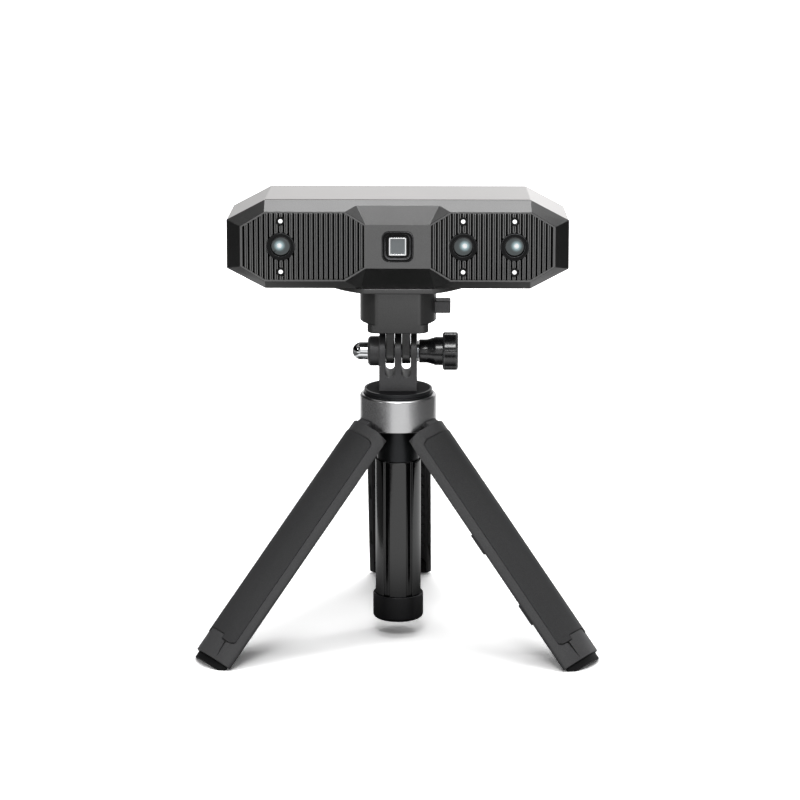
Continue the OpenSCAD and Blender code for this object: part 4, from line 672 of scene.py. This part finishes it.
surface = add_node(tree, "ShaderNodeBsdfPrincipled", {"Base Color": bands.outputs[0],
                   "Roughness": gloss.outputs[0], "IOR": 1.5, "Specular IOR Level": 0.2,
                   "Emission Color": bands.outputs[0], "Emission Strength": 1.0})
add_node(tree, "ShaderNodeOutputMaterial", {"Surface": surface.outputs[0]})
dome = [(0, -2.1, 0, 0), (1.4, -2.1, 0, 0), (1.4, 0, 0, 0), (1.5, 0, 0, 0), (1.5, 0.08, 0, 1),
        (1.44, 0.13, 0, 1), (1.3, 0.13, 0, 1), (1.15, 0.02, 0, 0), (1.0, -0.02, 0, 0)]
dome += [(r, 0.12 - 0.14 * r * r, 0, 0) for r in (0.9, 0.8, 0.7, 0.6, 0.5, 0.4, 0.2, 0)]
lens_dome = turned_part("dome_blank", dome, dome_with_painted_glow, FORWARD)
domes = set_out("fill_light_domes", lens_dome, lights, dome_with_painted_glow)
domes.data.transform(Matrix.Translation(HEAD + Vector((0, FACE, 0))))
stands_for(domes, "fill_light_lenses")

# Glass-fibre board under green solder mask: an even, slightly glossy green.
solder_green = moulded("solder_masked_board", "#1d4a33", 0.5, 0.35, 0.1)
coat("fill_light_boards", solder_green)

# Projector.
# Black nested frames hold a bright rim and a grey window. The frames are one
# polished black moulding; the rim is a stamped, polished strip, clipped in.

# Polished ABS is nearly black; its edges are painted light grey, a hard painted highlight.
polished_black = moulded("polished_black_abs", "#0b0b0c", 0.3, 0.26, 0.03, "#9a9a9d", 0.12, edge_wear_and_light_share=0.9)
finished("projector_frame", 0.28, polished_black, 3)

# The polished strip is as bright as what stands before it.
bright_trim = metal("polished_bright_trim", "#f2f3f4", 0.2, grain_mm=0.2, bump=0.03)
finished("projector_trim", 0.06, bright_trim)

# Polished grey glass with a faint smear, thin enough to show what stands behind it.
projector_glass, tree = new_material("grey_projector_glass")
place = add_node(tree, "ShaderNodeTexCoord")
smear = add_node(tree, "ShaderNodeTexNoise", {"Vector": place.outputs["Object"],
                 "Scale": 1 / (3 * MM), "Detail": 2})
gloss = add_node(tree, "ShaderNodeMapRange", {0: smear.outputs[0], 1: 0.3, 2: 0.7, 3: 0.03, 4: 0.07})
surface = add_node(tree, "ShaderNodeBsdfPrincipled", {"Base Color": colour("#9aa1a5"),
                   "Roughness": gloss.outputs[0], "IOR": 1.5, "Transmission Weight": 0.25,
                   "Coat Weight": 0.5})
add_node(tree, "ShaderNodeOutputMaterial", {"Surface": surface.outputs[0]})
coat("projector_window", projector_glass)
coat("projector_module", ring_black)

# Inside of the head.
# A stamped bracket carries the optics and posts in the shell carry the board.
# Both are held by small pan-head screws of zinc-plated steel.

# Zinc is a bluish grey with a dull shine. The bracket keeps the fine lines of
# the rolling mill. Turned brass is warm and shows its tool marks; the socket's
# nickel is whiter and brighter than the zinc.
zinc_steel = metal("zinc_plated_steel", "#9a9da1", 0.3, grain_mm=0.2)
coat("optics_bracket", metal("mill_finish_aluminium", "#a9abae", 0.4, (1, 8, 8)))
coat("bracket_screws", zinc_steel)
coat("main_board", solder_green)
coat("board_screws", zinc_steel)
turned_brass = metal("turned_brass", "#b08d3f", 0.3, grain_mm=0.2)
coat("thread_insert", turned_brass)
coat("mount_screw", zinc_steel)
coat("cable_socket", metal("nickel_plated_shell", "#b9bcc0", 0.25))

# Case screws.
# Four six-lobed screws of black oxide steel draw the shell on to the bezel
# from behind. Each head lies in a counterbore of the shell.

# Black oxide over steel: a dark metal whose worn edges still glint.
black_steel = metal("black_oxide_steel", "#3a3c3f", 0.35)
screw = turned_part("screw_blank", [
    (0, -26.3, 0, 0), (0.85, -26.3, 0, 0), (0.85, 0, 0, 0), (1.8, 0, 0, 0), (1.9, 0.1, 0, 0),
    (1.9, 0.9, 0, 1), (1.83, 1.08, 0, 1), (1.68, 1.18, 0, 1), (1.5, 1.2, 0, 0), (0.8, 1.2, -1, 0),
    (0.72, 1.12, -1, 1), (0.72, 0.5, -1, 0), (0, 0.5, 0, 0)], black_steel, BACKWARD,
    {"Grooves": 6, "Groove width": 0.4 * MM, "Groove depth": 0.22 * MM, "Groove edge": 0.12 * MM})
screws = set_out("case_screw_set", screw, [(x, 0, z) for x in (-53, 53) for z in (-8, 8)], black_steel)
screws.data.transform(Matrix.Translation(HEAD + Vector((0, 25 * MM, 0))))
stands_for(screws, "case_screws")

# Mount: flange, block, finger plate and latch.
# Mouldings of glass-filled nylon in a dark graphite lacquer. The block sits on
# the finger plate and takes the spigot; the latch slides across between them.

# The lacquer's flake gives the flats one even grey tone and the flanks a dark one.
graphite = moulded("graphite_lacquered_nylon", "#5d5d5d", 0.16, 0.38, 0.08, "#939393", 0.3, 0.85)
SEAM = 116.402 * MM
finished("mount_flange", 0.3, graphite)
finished("mount_block", 0.4, graphite, 3,
         soft=(2.6, lambda e: e.verts[0].co.y < COLUMN.y - 10 * MM
               and abs(e.verts[0].co.z - e.verts[1].co.z) > 8 * MM
               and e.calc_face_angle(0) > 0.3),
         keep=lambda e: max(v.co.z for v in e.verts) < SEAM + 0.1 * MM)
finished("finger_plate", 0.3, graphite, 3,
         keep=lambda e: all(abs(v.co.z - SEAM) < 0.1 * MM for v in e.verts))

# Acetal is waxy: softer in its shine than the lacquer round it.
latch_acetal = moulded("black_acetal", "#666667", 0.2, 0.5, 0.1, "#6a6b6d", 0.1, 0.7)
finished("release_latch", 0.35, latch_acetal, 3)
coat("plate_screws", zinc_steel)

# The latch's spring is wound from zinc-plated wire.
winding, size = new_tree("wound_spring", {"Turns": "Float", "Radius": "Float", "Length": "Float",
                         "Wire radius": "Float", "Material": "Material"})
coil = add_node(winding, "GeometryNodeCurveSpiral", {"Resolution": 24, "Rotations": size["Turns"],
                "Start Radius": size["Radius"], "End Radius": size["Radius"], "Height": size["Length"]})
wire = add_node(winding, "GeometryNodeCurvePrimitiveCircle", {"Resolution": 10,
                "Radius": size["Wire radius"]})
coil = add_node(winding, "GeometryNodeCurveToMesh", {"Curve": coil.outputs[0],
                "Profile Curve": wire.outputs[0], "Fill Caps": True})
coil = add_node(winding, "GeometryNodeRealizeInstances", {0: coil.outputs[0]})
coil = add_node(winding, "GeometryNodeSetMaterial", {"Geometry": coil.outputs[0],
                "Material": size["Material"]})
add_node(winding, "NodeGroupOutput", {0: coil.outputs[0]})
spring = grown("latch_spring_made", winding, [(0, 0, 0)], {
    "Turns": 5.0, "Radius": 1.15 * MM, "Length": 4.1 * MM, "Wire radius": 0.2 * MM,
    "Material": zinc_steel})
spring_seat = Vector((-11.7 * MM, COLUMN.y, 121.152 * MM))
spring.data.transform(Matrix.Translation(spring_seat + Vector((0.25 * MM, 0, 0))) @ ALONG_X)
stands_for(spring, "latch_spring")
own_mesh(spring)

# Tilt clamp.
# A three-prong adapter of the same nylon, its screw, a chromed cap nut in the
# boss and a black knob of phenolic moulding on the screw's other end.

# Glass fibres leave the nylon a little uneven and dull. Chrome mirrors all that
# stands round it. Phenolic is deep black with a polished skin.
adapter_nylon = moulded("glass_filled_nylon", "#5c5c5d", 0.2, 0.45, 0.15, "#808082", 0.15, 0.35)
finished("tripod_adapter", 0.3, adapter_nylon, 3)
coat("adapter_insert", turned_brass)
chrome = metal("chrome_plate", "#e4e6e8", 0.07, grain_mm=0.5, bump=0.02)
finished("cap_nut", 0.15, chrome)
coat("clamp_screw", zinc_steel)
coat("clamp_washer", zinc_steel)
# The knob's rounded rims are painted light grey: a painted highlight.
knob_black = moulded("polished_phenolic", "#151517", 0.5, 0.24, 0.01, "#8a8a8d", 0.9)
knob = turned_part("clamp_knob_made", [
    (2.45, 7.4, 0, 0), (3.9, 7.4, 0, 0), (4.1, 7.5, 0, 1), (4.2, 7.7, 0, 1), (4.2, 9.8, 0, 0),
    (4.22, 10.3, 0, 0), (4.32, 10.8, 0, 0), (4.9, 12.7, 0, 0), (5.05, 13.1, 0, 0), (5.1, 13.5, 0, 0),
    (5.1, 15.75, 0, 0), (6.1, 15.8, 0, 0), (6.4, 15.88, 0.6, 1), (6.65, 16.1, 0.9, 1),
    (6.8, 16.5, 1, 1), (6.8, 16.8, 1, 0), (6.8, 20.3, 1, 0), (6.8, 20.6, 1, 1), (6.65, 21, 0.9, 1),
    (6.4, 21.2, 0.6, 1), (6.1, 21.3, 0, 0), (0, 21.3, 0, 0), (0, 18.8, 0, 0), (2.45, 18.8, 0, 0),
    (2.45, 7.4, 0, 0)], knob_black, ALONG_X,
    {"Steps round": 361, "Grooves": 6, "Groove width": 0.9 * MM, "Groove depth": 0.5 * MM,
     "Groove edge": 0.3 * MM, "Groove angle": math.radians(13)})
knob.data.transform(Matrix.Translation(COLUMN + Vector((0, 0, 104.502 * MM))))
stands_for(knob, "clamp_knob")

# Platform.
# A turned black disc with a groove and a rubber pad bonded on it. The camera
# screw comes up through it and holds the adapter.
coat("camera_screw", zinc_steel)

# Black anodising keeps some of the metal's sheen; the pad is quite dull.
disc_black = moulded("black_anodised_disc", "#303133", 0.2, 0.34, 0.08, "#8a8a8c", 0.3, 0.6)
finished("platform_disc", 0.12, disc_black)
pad_rubber = moulded("soft_rubber_pad", "#1b1b1d", 0.4, 0.7, 0.3, specular=0.15)
coat("platform_pad", pad_rubber)

# Column.
# Two drawn steel tubes slide in a fixed one on acetal bushes. Round the fixed
# tube lies a fluted extrusion in gloss black, pushed into a moulded end cap.

# Drawn tube has fine lines along it and a clear, cool shine; natural acetal is
# milky white. The extrusion is glossy enough for sharp, long highlights, and the
# moulded cap is satin.
drawn_steel = metal("drawn_stainless_tube", "#a2a5a9", 0.25, (6, 6, 1))
acetal = moulded("natural_acetal", "#dcdcd8", 0.4, 0.4, 0.05)
for node in ("inner_tube", "middle_tube", "outer_tube"):
    coat(node, drawn_steel)
for node in ("inner_bush", "middle_bush", "middle_guide", "outer_guide"):
    coat(node, acetal)

gloss_black = moulded("gloss_black_extrusion", "#0a0a0b", 0.6, 0.14, 0.01, "#5a5a5c", 0.8)
tube = turned_part("fluted_tube_made", [
    (6.9, 10, 0, 0), (8.05, 10, 1, 0), (8.2, 10.15, 1, 1), (8.2, 10.6, 1, 0), (8.2, 64.7, 1, 0),
    (8.2, 65.1, 1, 1), (8.15, 65.25, 1, 1), (8.0, 65.3, 1, 0), (6.9, 65.3, 0, 0), (6.9, 10, 0, 0)],
    gloss_black, Matrix.Translation(COLUMN),
    {"Steps round": 721, "Grooves": 6, "Groove width": 2.2 * MM, "Groove depth": 0.65 * MM,
     "Groove edge": 0.22 * MM})
stands_for(tube, "fluted_tube")
cap_black = moulded("black_moulded_cap", "#161618", 0.25, 0.35, 0.1, "#5a5a5c", 0.35)
finished("end_cap", 0.25, cap_black)

# Collar and hub.
# A turned, fine-brushed aluminium collar with three tongues hides the hub and
# its hinge pins. It is pressed on and its lower edge is chamfered bright.

# Brushed round its axis, the collar draws its highlights out into upright bands.
brushed_collar = metal("fine_brushed_aluminium", "#c6c6c7", 0.26, (1, 1, 25), 0.35, 0.12)
finished("collar", 0.12, brushed_collar)
finished("hub", 0.2, disc_black)
coat("hinge_pins", zinc_steel)

# Legs.
# Each leg is a half-round nylon moulding, cross-ribbed inside, with a soft
# grip moulded on to it and a rubber foot plugged into its end.

# The nylon has a plain leathery grain, and its edges are painted lighter, partly wear and partly a painted
# highlight. The soft elastomer is duller and darker, with its edges painted dark where it lies in its
# pocket, a painted shadow, and the foot's rubber is nearly black.
leg_nylon = moulded("grained_leg_nylon", "#4a4a4b", 0.32, 0.46, 0.35, "#6c6c6d", 0.3)
grip_rubber = moulded("soft_touch_elastomer", "#3b3b3c", 0.32, 0.55, 0.4, "#060606", 0.25, edge_wear_and_light_share=2.5)
foot_rubber = moulded("black_foot_rubber", "#121213", 0.4, 0.6, 0.2, "#3a3a3c", 0.15)
for name in ("left", "right", "rear"):
    finished(name + "_leg_shell", 0.3, leg_nylon)
    finished(name + "_leg_grip", 0.3, grip_rubber)
    finished(name + "_leg_foot", 0.25, foot_rubber)
